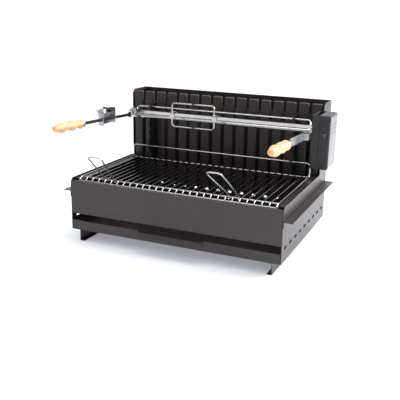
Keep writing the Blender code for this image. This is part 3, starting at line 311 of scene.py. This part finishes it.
# ---------------------------------------------------------------- finishes
class Finish:
    """A small builder for one node-based material."""

    def __init__(self, name, metallic=0.0, roughness=0.5, specular=0.5):
        self.material = bpy.data.materials.new(name)
        self.material.use_nodes = True
        self.nodes = self.material.node_tree.nodes
        self.links = self.material.node_tree.links
        self.shader = self.nodes["Principled BSDF"]
        self.shader.inputs["Metallic"].default_value = metallic
        self.shader.inputs["Roughness"].default_value = roughness
        self.shader.inputs["Specular IOR Level"].default_value = specular
        self.place = self.nodes.new("ShaderNodeTexCoord").outputs["Object"]
        self.normal = None

    def stretched(self, scale, turn=(0, 0, 0)):
        mapping = self.nodes.new("ShaderNodeMapping")
        mapping.inputs["Scale"].default_value = scale
        mapping.inputs["Rotation"].default_value = turn
        self.links.new(self.place, mapping.inputs["Vector"])
        return mapping.outputs["Vector"]

    def noise(self, scale, detail=4.0, roughness=0.55, stretch=None, distortion=0.0):
        node = self.nodes.new("ShaderNodeTexNoise")
        node.inputs["Scale"].default_value = scale
        node.inputs["Detail"].default_value = detail
        node.inputs["Roughness"].default_value = roughness
        node.inputs["Distortion"].default_value = distortion
        self.links.new(self.stretched(stretch) if stretch else self.place, node.inputs["Vector"])
        return node.outputs["Fac"]

    def cells(self, scale, stretch=None):
        node = self.nodes.new("ShaderNodeTexVoronoi")
        node.inputs["Scale"].default_value = scale
        self.links.new(self.stretched(stretch) if stretch else self.place, node.inputs["Vector"])
        return node.outputs["Color"]

    def ramp(self, source, low, high, start=0.35, end=0.65):
        """A source from 0 to 1 spread over two colours or two grey values."""
        node = self.nodes.new("ShaderNodeValToRGB")
        for stop, place, value in zip(node.color_ramp.elements, (start, end), (low, high)):
            stop.position = place
            stop.color = (*value, 1) if isinstance(value, (tuple, list)) else (value, value, value, 1)
        self.links.new(source, node.inputs["Fac"])
        return node.outputs["Color"]

    def mix(self, factor, a, b, kind="MIX"):
        node = self.nodes.new("ShaderNodeMix")
        node.data_type = "RGBA"
        node.blend_type = kind
        for value, socket in ((factor, node.inputs["Factor"]), (a, node.inputs[6]), (b, node.inputs[7])):
            if hasattr(value, "is_linked"):
                self.links.new(value, socket)
            elif isinstance(value, (tuple, list)):
                socket.default_value = (*value, 1)
            else:
                socket.default_value = value
        return node.outputs[2]

    def colour(self, source):
        self.links.new(source, self.shader.inputs["Base Color"])

    def rough(self, source):
        self.links.new(source, self.shader.inputs["Roughness"])

    def bump(self, height, strength, distance):
        node = self.nodes.new("ShaderNodeBump")
        node.inputs["Strength"].default_value = strength
        node.inputs["Distance"].default_value = distance
        self.links.new(height, node.inputs["Height"])
        if self.normal:
            self.links.new(self.normal, node.inputs["Normal"])
        self.normal = node.outputs["Normal"]
        self.links.new(self.normal, self.shader.inputs["Normal"])

    def coat(self, weight, roughness):
        self.shader.inputs["Coat Weight"].default_value = weight
        self.shader.inputs["Coat Roughness"].default_value = roughness


def tint(colour, factor):
    return tuple(min(1.0, channel * factor) for channel in colour)


def baked_paint(name, colour, gloss, coat=0.0):
    """Baked paint on sheet steel: orange peel, faint clouding and dust that dulls it."""
    made = Finish(name, roughness=gloss, specular=0.62)
    clouds = made.noise(9.0, 5.0, 0.6)
    made.colour(made.ramp(clouds, tint(colour, 0.86), tint(colour, 1.16), 0.3, 0.7))
    dust = made.noise(60.0, 6.0, 0.7)
    made.rough(made.ramp(dust, gloss - 0.06, gloss + 0.10, 0.3, 0.75))
    made.bump(made.noise(900.0, 2.0, 0.5), 0.10, 0.0002)
    made.bump(made.noise(14.0, 2.0, 0.5), 0.05, 0.002)
    if coat:
        made.coat(coat, gloss * 0.6)
    return made.material


def slat_paint(name):
    """Matt heat-resistant paint with vertical rubbing and a little ash."""
    base = colours().slats
    made = Finish(name, roughness=0.5)
    streaks = made.noise(40.0, 6.0, 0.6, stretch=(1.0, 1.0, 0.06))
    ash = made.noise(240.0, 4.0, 0.75)
    body = made.ramp(streaks, tint(base, 0.75), tint(base, 1.5), 0.3, 0.75)
    made.colour(made.mix(made.ramp(ash, 0.0, 0.35, 0.60, 0.80), body, tint(base, 4.0)))
    made.rough(made.ramp(streaks, 0.40, 0.58, 0.3, 0.7))
    made.bump(made.noise(700.0, 3.0, 0.6), 0.18, 0.0003)
    return made.material


def chrome(name):
    """Bright plated wire with faint drawing lines and fingering."""
    base = colours().chrome
    made = Finish(name, metallic=1.0, roughness=0.14)
    haze = made.noise(55.0, 4.0, 0.6)
    made.colour(made.ramp(haze, tint(base, 0.86), tint(base, 1.06), 0.3, 0.7))
    made.rough(made.ramp(haze, 0.09, 0.22, 0.35, 0.75))
    made.bump(made.noise(1500.0, 2.0, 0.5), 0.05, 0.0001)
    return made.material


def zinc(name):
    """Zinc-plated steel with a fine spangle and random darker, duller smears."""
    base = colours().zinc
    made = Finish(name, metallic=1.0, roughness=0.34)
    spangle = made.cells(420.0)
    tone = made.ramp(spangle, tint(base, 0.82), tint(base, 1.18), 0.1, 0.9)
    smear = made.noise(70.0, 5.0, 0.6)
    made.colour(made.mix(made.ramp(smear, 0.0, 0.5), tone, tint(base, 0.7)))
    made.rough(made.ramp(smear, 0.26, 0.46, 0.3, 0.7))
    made.bump(made.noise(1200.0, 2.0, 0.5), 0.08, 0.0001)
    return made.material


def beech(name):
    """Turned beech: grain along the handle, short dark pores and a thin varnish."""
    light, dark = tuple(colours().beech), tuple(colours().beech_dark)
    made = Finish(name, roughness=0.42)
    grain = made.noise(130.0, 7.0, 0.62, stretch=(1.0, 0.07, 1.0), distortion=0.6)
    bands = made.noise(34.0, 3.0, 0.5, stretch=(1.0, 0.16, 1.0), distortion=1.1)
    pores = made.noise(900.0, 2.0, 0.6, stretch=(1.0, 0.10, 1.0))
    body = made.ramp(grain, tint(dark, 1.15), light, 0.30, 0.62)
    body = made.mix(made.ramp(bands, 0.0, 0.55, 0.35, 0.75), body, tint(dark, 1.25))
    body = made.mix(made.ramp(pores, 0.0, 0.6, 0.62, 0.74), body, tint(dark, 0.6))
    made.colour(body)
    made.rough(made.ramp(grain, 0.36, 0.52, 0.3, 0.7))
    made.bump(pores, 0.12, 0.0003)
    made.coat(0.25, 0.25)
    return made.material


def moulded(name, colour, gloss):
    """Moulded plastic with a fine spark-eroded grain."""
    made = Finish(name, roughness=gloss)
    cloud = made.noise(40.0, 4.0, 0.6)
    made.colour(made.ramp(cloud, tint(colour, 0.9), tint(colour, 1.12), 0.3, 0.7))
    made.rough(made.ramp(cloud, gloss - 0.05, gloss + 0.07, 0.3, 0.7))
    made.bump(made.noise(1800.0, 2.0, 0.6), 0.22, 0.0002)
    return made.material


def brass(name):
    made = Finish(name, metallic=1.0, roughness=0.3)
    lines = made.noise(300.0, 3.0, 0.5, stretch=(6.0, 1.0, 1.0))
    made.colour(made.ramp(lines, tint(colours().brass, 0.85), tint(colours().brass, 1.1)))
    made.rough(made.ramp(lines, 0.22, 0.40))
    return made.material


def once(name, maker):
    """The named material, made the first time that it is asked for."""
    def get():
        return bpy.data.materials.get(name) or maker(name)
    return get


FINISHES = {
    "firebox": once("firebox_enamel", lambda name: baked_paint(name, colours().firebox, 0.36)),
    "slats": once("fireback_enamel", slat_paint),
    "black": once("black_enamel", lambda name: baked_paint(name, colours().black, 0.46)),
    "chrome": once("bright_plate", chrome),
    "zinc": once("zinc_coat", zinc),
    "beech": once("turned_beech", beech),
    "plastic": once("moulded_black", lambda name: moulded(name, colours().plastic, 0.38)),
    "plate": once("lacquered_plate", lambda name: moulded(name, colours().plate, 0.36)),
    "switch": once("moulded_grey", lambda name: moulded(name, colours().switch, 0.30)),
    "nylon": once("moulded_nylon", lambda name: moulded(name, colours().nylon, 0.5)),
    "brass": once("turned_brass", brass),
}


def repaint(finish, *nodes):
    """Gives frame nodes that stay in view a finish."""
    for node in nodes:
        obj = cad(node)
        obj.data.materials.clear()
        obj.data.materials.append(FINISHES[finish]())


# ---------------------------------------------------------------- operators
def white_floor(glow):
    bm = bmesh.new()
    bmesh.ops.create_grid(bm, x_segments=1, y_segments=1, size=FLOOR_HALF)
    floor = object_from(bm, "studio_floor")
    white = Finish("studio_white", roughness=0.7)
    white.colour(white.ramp(white.noise(3.0), (0.90, 0.91, 0.94), (0.92, 0.93, 0.95)))
    white.shader.inputs["Emission Color"].default_value = (0.88, 0.90, 1.0, 1.0)
    white.shader.inputs["Emission Strength"].default_value = glow
    floor.data.materials.append(white.material)


def white_surroundings(setup):
    """A white room that is bright behind and beside the roaster and dim in front of it."""
    world = bpy.data.worlds.new("studio_world")
    world.use_nodes = True
    nodes, links = world.node_tree.nodes, world.node_tree.links
    way = nodes.new("ShaderNodeTexCoord")
    split = nodes.new("ShaderNodeSeparateXYZ")
    fade = nodes.new("ShaderNodeMapRange")
    fade.inputs["From Min"].default_value = -0.9
    fade.inputs["From Max"].default_value = 0.5
    fade.inputs["To Min"].default_value = setup.front_light
    fade.inputs["To Max"].default_value = setup.backdrop
    links.new(way.outputs["Generated"], split.inputs["Vector"])
    links.new(split.outputs["Y"], fade.inputs["Value"])
    links.new(fade.outputs["Result"], nodes["Background"].inputs["Strength"])
    nodes["Background"].inputs["Color"].default_value = (1.0, 1.0, 1.0, 1.0)
    bpy.context.scene.world = world


def soft_light(name, place, size, power):
    """A square lamp aimed at the middle of the roaster."""
    lamp = bpy.data.lights.new(name, "AREA")
    lamp.energy = power
    lamp.size = size
    holder = link(bpy.data.objects.new(name, lamp))
    holder.location = place
    aim = LIGHT_AIM - Vector(place)
    holder.rotation_euler = aim.to_track_quat("-Z", "Y").to_euler()


class ROASTER_OT_studio(bpy.types.Operator):
    """White table, soft lights and the camera"""

    bl_idname = "roaster.studio"
    bl_label = "Studio"
    bl_options = {"REGISTER", "UNDO"}

    def execute(self, context):
        setup = studio()
        white_floor(setup.glow)
        white_surroundings(setup)
        for name, place, size, power in LIGHTS:
            soft_light(name, place, size, power)

        lens = bpy.data.cameras.new("camera")
        lens.lens = setup.lens
        camera = link(bpy.data.objects.new("camera", lens))
        turn = Matrix.Rotation(setup.yaw, 4, "Z") @ Matrix.Rotation(pi / 2 - setup.pitch, 4, "X")
        camera.matrix_world = Matrix.Translation(setup.place) @ turn @ Matrix.Rotation(setup.roll, 4, "Z")
        bpy.context.scene.camera = camera
        bpy.context.scene.view_settings.view_transform = "Standard"
        return {"FINISHED"}


class ROASTER_OT_firebox(bpy.types.Operator):
    """Painted sheets of the firebox with eased edges"""

    bl_idname = "roaster.firebox"
    bl_label = "Firebox"
    bl_options = {"REGISTER", "UNDO"}

    def execute(self, context):
        edge = sizes().edge
        for side in ("left", "right"):
            for part in ("side_panel", "ledge", "runner", "drawer_guide", "grate_rail", "grid_rest"):
                node = f"{side}_{part}"
                show(eased_copy(node, edge), "firebox", "firebox", node)
        for node in ("front_panel", "rear_panel"):
            show(eased_copy(node, edge), "firebox", "firebox", node)
        repaint("black", "left_rack", "right_rack", "charcoal_grate")
        return {"FINISHED"}


class ROASTER_OT_fireback(bpy.types.Operator):
    """Folded slats of the fireback on their two rails"""

    bl_idname = "roaster.fireback"
    bl_label = "Fireback"
    bl_options = {"REGISTER", "UNDO"}

    def execute(self, context):
        low, high = box("slat_wall")
        centre = (low.x + high.x) / 2
        fold = sizes().fold
        slats = []
        for i in range(SLAT_COUNT):
            x = centre + (i - (SLAT_COUNT - 1) / 2) * SLAT_PITCH
            slats.append(folded_slat(x, SLAT_WIDTH, low.y, SLAT_DEEP, low.z, high.z, fold))
        rails = [rail_bar((low.x, low.y + SLAT_DEEP - 0.001, z - 0.010), (high.x, high.y, z + 0.010))
                 for z in (low.z + 0.030, high.z - 0.045)]
        show(merged("fireback", *slats, *rails), "firebox", "slats", "slat_wall")
        return {"FINISHED"}


def folded_slat(x, width, front, deep, low, high, fold):
    """A channel-shaped slat whose face, sides and top meet in rounded folds."""
    bm = bmesh.new()
    made = bmesh.ops.create_cube(bm, size=1.0)["verts"]
    bmesh.ops.scale(bm, vec=(width, deep, high - low), verts=made)
    bmesh.ops.translate(bm, vec=(x, front + deep / 2, (low + high) / 2), verts=made)
    away = [f for f in bm.faces if f.normal.y > 0.5 or f.normal.z < -0.5]
    bmesh.ops.delete(bm, geom=away, context="FACES")
    folds = [e for e in bm.edges if not e.is_boundary]
    bmesh.ops.bevel(bm, geom=folds, offset=2 * fold, segments=5, profile=0.5, affect="EDGES")
    bmesh.ops.recalc_face_normals(bm, faces=bm.faces)
    slat = object_from(bm, "slat")
    wall = slat.modifiers.new("wall", "SOLIDIFY")
    wall.thickness = SLAT_SHEET
    wall.offset = -1.0
    wall.use_even_offset = True
    return meshed(slat)


def rail_bar(low, high):
    """A flat bar with eased edges between two corners."""
    low, high = Vector(low), Vector(high)
    bm = bmesh.new()
    bmesh.ops.create_cube(bm, size=1.0)
    bmesh.ops.scale(bm, vec=high - low, verts=bm.verts)
    bmesh.ops.translate(bm, vec=(low + high) / 2, verts=bm.verts)
    bmesh.ops.bevel(bm, geom=bm.edges[:], offset=sizes().edge, segments=2, profile=0.5, affect="EDGES")
    return object_from(bm, "bar")


class ROASTER_OT_drawer(bpy.types.Operator):
    """Ash drawer with its folded pull"""

    bl_idname = "roaster.drawer"
    bl_label = "Ash drawer"
    bl_options = {"REGISTER", "UNDO"}

    def execute(self, context):
        for node in ("ash_drawer", "drawer_pull"):
            show(eased_copy(node, sizes().edge), "drawer", "firebox", node)
        low, high = box("pull_rivet")
        head = [(0, 0), (0, 0.0019), (0.0002, 0.0022), (0.0010, 0.0040), (0.0014, 0.0041), (0.0018, 0.0037),
                (0.0020, 0.0025), (0.0020, 0)]
        place = ((low.x + high.x) / 2, low.y, (low.z + high.z) / 2)
        show(turned("rivet", head, place, (0, 1, 0)), "drawer", "zinc", "pull_rivet")
        return {"FINISHED"}


class ROASTER_OT_grid(bpy.types.Operator):
    """Chromed cooking grid with its welds, and the two wire handles hooked to it"""

    bl_idname = "roaster.grid"
    bl_label = "Cooking grid"
    bl_options = {"REGISTER", "UNDO"}

    def execute(self, context):
        low, high = box("cooking_grid")
        thin, thick, bend = GRID_THIN, GRID_THICK, GRID_BEND
        left, right = low.x + thick, high.x - thick
        back = high.y - thick
        front = back - GRID_LONG
        top = high.z - thick
        level = top - GRID_RAIL_HIGH
        stepped, under = front + GRID_STEP_LONG, level - GRID_STEP_DOWN
        route = [(left, front, under), (left, stepped, level), (left, back, level), (left, back, top),
                 (right, back, top), (right, back, level), (right, stepped, level), (right, front, under)]
        frame_wire = meshed(wire("frame_wire", [rounded(route, bend)], thick))

        places = [left + (right - left) * i / (GRID_WIRES - 1) for i in range(GRID_WIRES)]
        bars = [rounded([(x, front, under), (x, stepped, level), (x, back, level)], bend)
                for x in places[1:-1]]
        long_wires = meshed(wire("long_wires", bars, thin))
        drop = thin + thick - GRID_SINK
        rows = ((front + 0.001, under - drop), (front + GRID_CROSS_FRONT, level - drop),
                (back - 0.002, level - drop))
        cross_wires = meshed(wire("cross_wires", [[(low.x, y, z), (high.x, y, z)] for y, z in rows], thick))

        bm = bmesh.new()
        for y, z in rows:
            for x in places:
                bead(bm, (x, y, z + thick), sizes().weld, (0.9, 1.1, 0.55))
        welds = object_from(bm, "welds")
        wires = merged("grid_wires", frame_wire, long_wires, cross_wires, welds)
        show(wires, "grid", "chrome", "cooking_grid")

        for side, body in (("left", "grid_handle_left"), ("right", "grid_handle_right")):
            across = BAIL_PLACES[side] * (right - left) / (GRID_WIRES - 1)
            pivot = Vector((left + across, front + GRID_CROSS_FRONT, level - drop))
            made = meshed(bail(side + "_bail", pivot, BAIL_LEANS[side], thick))
            show(made, body, "chrome", side + "_grid_handle")
        return {"FINISHED"}


def bail(name, pivot, lean, grid_wire):
    """A wire handle whose feet hook round the grid's front cross wire."""
    radius, foot, top, length, rise, knee = 0.0022, 0.030, 0.045, 0.135, radians(42), 0.020
    curl = grid_wire + radius + 0.0005
    ahead = Vector((0, -cos(rise), sin(rise)))
    steps = 16
    first = radians(-150)
    turns = [first + (pi / 2 - rise - first) * k / steps for k in range(steps + 1)]
    hooks = [[pivot + Vector((side * foot / 2, curl * cos(t), curl * sin(t))) for t in turns]
             for side in (-1, 1)]
    corners = [pivot + ahead * length + Vector((lean + side * top / 2, 0, 0)) for side in (-1, 1)]
    knees = [pivot + ahead * knee + Vector((side * foot / 2, 0, 0)) for side in (-1, 1)]
    loop = rounded([hooks[0][-1], knees[0], *corners, knees[1], hooks[1][-1]], 0.012, 12)
    return wire(name, [hooks[0][:-1] + loop + hooks[1][-2::-1]], radius)


class ROASTER_OT_cradle(bpy.types.Operator):
    """Cross tube, hanger rail, arms and handles"""

    bl_idname = "roaster.cradle"
    bl_label = "Spit cradle"
    bl_options = {"REGISTER", "UNDO"}

    def execute(self, context):
        low, high = box("cradle_frame")
        radius, rail_radius, half = 0.006, 0.003, 0.297
        tube_y, tube_z = low.y + radius, low.z + radius
        rail_y, rail_z = high.y - rail_radius, high.z - rail_radius
        ends = [(0, 0), (0, radius - 0.0008), (0.0008, radius), (high.x - low.x - 0.0008, radius),
                (high.x - low.x, radius - 0.0008), (high.x - low.x, 0)]
        tube = turned("tube", ends, (low.x, tube_y, tube_z), (1, 0, 0))
        middle = (low.x + high.x) / 2
        route = [(middle + side * half, y, z) for side, y, z in (
            (-1, tube_y + 0.001, tube_z + 0.002), (-1, rail_y, rail_z), (1, rail_y, rail_z),
            (1, tube_y + 0.001, tube_z + 0.002))]
        rail = meshed(wire("rail", [rounded(route, 0.012, 12)], rail_radius))
        bm = bmesh.new()
        for side in (-1, 1):
            bead(bm, (middle + side * half, tube_y + 0.004, tube_z + 0.004), 0.0040, (1.2, 0.8, 0.8))
        wires = merged("cradle_wires", tube, rail, object_from(bm, "welds"))
        show(wires, "spit_cradle", "chrome", "cradle_frame")

        edge = sizes().edge
        for node, finish in (("left_arm", "black"), ("right_arm", "zinc"), ("spit_bearing", "zinc"),
                             ("motor_stay", "zinc"), ("motor_bracket", "black")):
            show(eased_copy(node, edge), "spit_cradle", finish, node)
        repaint("zinc", "left_arm_bolt", "right_arm_bolt", "left_ferrule", "right_ferrule")
        for side in ("left", "right"):
            show(grip(side), "spit_cradle", "beech", side + "_grip")
        return {"FINISHED"}


def grip(side):
    """A turned handle with a neck, three swells and a domed end."""
    low, high = box(side + "_grip")
    rise, length, neck, neck_long, radius = HANDLE_RISE, 0.146, 0.0095, 0.012, 0.0150
    ahead = Vector((0, -cos(rise), sin(rise)))
    foot = Vector(((low.x + high.x) / 2, high.y - neck * sin(rise), 0))
    foot.z = low_centre(side)
    start = neck_long + 0.0025
    profile = [(0, 0), (0, neck - 0.0008), (0.0006, neck), (neck_long, neck),
               (neck_long + 0.0004, neck + 0.0012)]
    rings = 72
    for k in range(rings + 1):
        t = k / rings
        swell = radius * (0.86 + 0.14 * cos(2 * pi * (2.6 * t + 0.15)))
        close = min(1.0, (1 - t) / 0.14)
        round_end = sqrt(max(0.0, 1 - (1 - close) ** 2))
        groove = 0.0004 if k in (23, 24) else 0.0
        profile.append((start + (length - start) * t, max(swell * round_end - groove, 0.0)))
    return turned(side + "_handle", profile, foot, ahead)


def low_centre(side):
    """Height of the handle's axis where the arm enters it."""
    low, high = box(side + "_ferrule")
    return (low.z + high.z) / 2 - 0.006 * sin(HANDLE_RISE)


class ROASTER_OT_rest(bpy.types.Operator):
    """Sliding spit rest with its wing screw and keeper"""

    bl_idname = "roaster.rest"
    bl_label = "Spit rest"
    bl_options = {"REGISTER", "UNDO"}

    def execute(self, context):
        show(eased_copy("rest_bracket", sizes().edge), "rest_slider", "zinc", "rest_bracket")
        show(eased_copy("rest_keeper", sizes().edge), "rest_latch", "black", "rest_keeper")
        repaint("zinc", "wing_screw")
        return {"FINISHED"}


class ROASTER_OT_spit(bpy.types.Operator):
    """Square spit with its round journal, and the two forks with their thumb screws"""

    bl_idname = "roaster.spit"
    bl_label = "Spit"
    bl_options = {"REGISTER", "UNDO"}

    def execute(self, context):
        show(eased_copy("spit_rod", 0.0005), "spit", "chrome", "spit_rod")
        for side, face, body in (("left", 1, "fork_left"), ("right", -1, "fork_right")):
            show(fork(side, face), body, "chrome", side + "_fork")
            show(thumb_screw(side), "fork_screw_" + side, "zinc", side + "_fork_screw")
        return {"FINISHED"}


def fork(side, face):
    """A bent wire with two points welded in front of a square hub."""
    low, high = box(side + "_fork")
    radius, spread, reach, point, bend = 0.0024, 0.037, 0.060, 0.010, 0.010
    hub_long, hub_side = 0.014, 0.019
    tip_x = high.x if face > 0 else low.x
    hub_x = tip_x - face * (reach + point)
    axis_z = (low.z + high.z) / 2
    hub_y = high.y - hub_side / 2
    wire_y = hub_y - (SPIT_SIDE / 2 + SPIT_PLAY + radius + 0.0006)
    route = [(tip_x - face * point, wire_y, axis_z + spread), (hub_x, wire_y, axis_z + spread),
             (hub_x, wire_y, axis_z - spread), (tip_x - face * point, wire_y, axis_z - spread)]
    pieces = [meshed(wire("prongs", [rounded(route, bend, 12)], radius))]
    taper = [(0, 0), (0, radius), (point * 0.55, radius * 0.72), (point * 0.9, radius * 0.30), (point, 0)]
    for z in (axis_z - spread, axis_z + spread):
        pieces.append(turned("point", taper, (tip_x - face * point, wire_y, z), (face, 0, 0), 24))
    pieces.append(fork_hub((hub_x, hub_y, axis_z), hub_long, hub_side))
    return merged(side + "_fork_wire", *pieces)


def fork_hub(centre, long, side):
    """A square sleeve with rounded edges and a square way through it for the spit."""
    x, y, z = centre
    way = SPIT_SIDE / 2 + SPIT_PLAY
    half = side / 2
    ring = [(-half, -half), (half, -half), (half, half), (-half, half)]
    inner = [(-way, -way), (way, -way), (way, way), (-way, way)]
    bm = bmesh.new()
    loops = []
    for end in (-long / 2, long / 2):
        for shape in (ring, inner):
            loops.append([bm.verts.new((x + end, y + a, z + b)) for a, b in shape])
    near_out, near_in, far_out, far_in = loops
    for k in range(4):
        n = (k + 1) % 4
        bm.faces.new((near_out[k], near_out[n], far_out[n], far_out[k]))
        bm.faces.new((near_in[n], near_in[k], far_in[k], far_in[n]))
        bm.faces.new((near_out[n], near_out[k], near_in[k], near_in[n]))
        bm.faces.new((far_out[k], far_out[n], far_in[n], far_in[k]))
    bmesh.ops.recalc_face_normals(bm, faces=bm.faces)
    outer_edges = [e for e in bm.edges if all(v in near_out or v in far_out for v in e.verts)]
    bmesh.ops.bevel(bm, geom=outer_edges, offset=0.0012, segments=3, profile=0.5, affect="EDGES")
    return object_from(bm, "hub")


def thumb_screw(side):
    """A thumb screw with a knurled head."""
    low, high = box(side + "_fork_screw")
    axis = ((low.x + high.x) / 2, low.y, (low.z + high.z) / 2)
    shank = [(0, 0), (0, 0.0016), (0.0006, 0.0024), (0.0080, 0.0024)]
    rim, outer = 0.0050, 0.0058
    head = [(0.0080, rim), (0.0088, outer), (0.0142, outer), (0.0150, rim), (0.0150, 0.0030),
            (0.0144, 0.0026), (0.0144, 0)]
    made = turned("thumb", shank + head, axis, (0, 1, 0), KNURL_STEPS)
    for vertex in made.data.vertices:
        across = Vector((vertex.co.x - axis[0], vertex.co.z - axis[2]))
        if across.length > 0.95 * outer:
            tooth = round(atan2(across.y, across.x) / (2 * pi) * KNURL_STEPS) % 3
            across *= 1.0 if tooth else 0.93
            vertex.co.x, vertex.co.z = axis[0] + across.x, axis[2] + across.y
    made.name = side + "_thumb_screw"
    return made


class ROASTER_OT_motor(bpy.types.Operator):
    """Motor casing, its works and its switch"""

    bl_idname = "roaster.motor"
    bl_label = "Motor"
    bl_options = {"REGISTER", "UNDO"}

    def execute(self, context):
        edge = sizes().edge
        show(eased_copy("gearcase_plate", edge), "spit_cradle", "plastic", "gearcase_plate")
        show(eased_copy("motor_side_plate", 0.0003), "spit_cradle", "plate", "motor_side_plate")
        repaint("plastic", "motor_cover", "cable_gland")
        repaint("zinc", "cover_screw_1", "cover_screw_2", "cover_screw_3", "cover_screw_4", "motor_can",
                "idler_spindle")
        repaint("nylon", "output_gear", "idler_gear")
        repaint("switch", "switch_rocker")
        repaint("brass", "rotor_pinion")
        return {"FINISHED"}


STEPS = (ROASTER_OT_studio, ROASTER_OT_firebox, ROASTER_OT_fireback, ROASTER_OT_drawer, ROASTER_OT_grid,
         ROASTER_OT_cradle, ROASTER_OT_rest, ROASTER_OT_spit, ROASTER_OT_motor)


class ROASTER_PT_panel(bpy.types.Panel):
    """Steps that make the roaster"""

    bl_idname = "ROASTER_PT_panel"
    bl_label = "Spit roaster"
    bl_space_type = "VIEW_3D"
    bl_region_type = "UI"
    bl_category = "Roaster"

    def draw(self, context):
        for step in STEPS:
            self.layout.operator(step.bl_idname)
        for group in (sizes(), colours(), studio()):
            for name in group.bl_rna.properties.keys():
                if name not in {"rna_type", "name"}:
                    self.layout.prop(group, name)


GROUPS = {"roaster_finishes": RoasterFinishes, "roaster_sizes": RoasterSizes, "roaster_studio": RoasterStudio}


def register():
    for made in (*GROUPS.values(), *STEPS, ROASTER_PT_panel):
        bpy.utils.register_class(made)
    for name, group in GROUPS.items():
        setattr(bpy.types.Scene, name, PointerProperty(type=group))


def unregister():
    for name in GROUPS:
        delattr(bpy.types.Scene, name)
    for made in reversed((*GROUPS.values(), *STEPS, ROASTER_PT_panel)):
        bpy.utils.unregister_class(made)


def main():
    register()
    for step in STEPS:
        group, name = step.bl_idname.split(".")
        getattr(getattr(bpy.ops, group), name)()


if __name__ == "__main__":
    main()
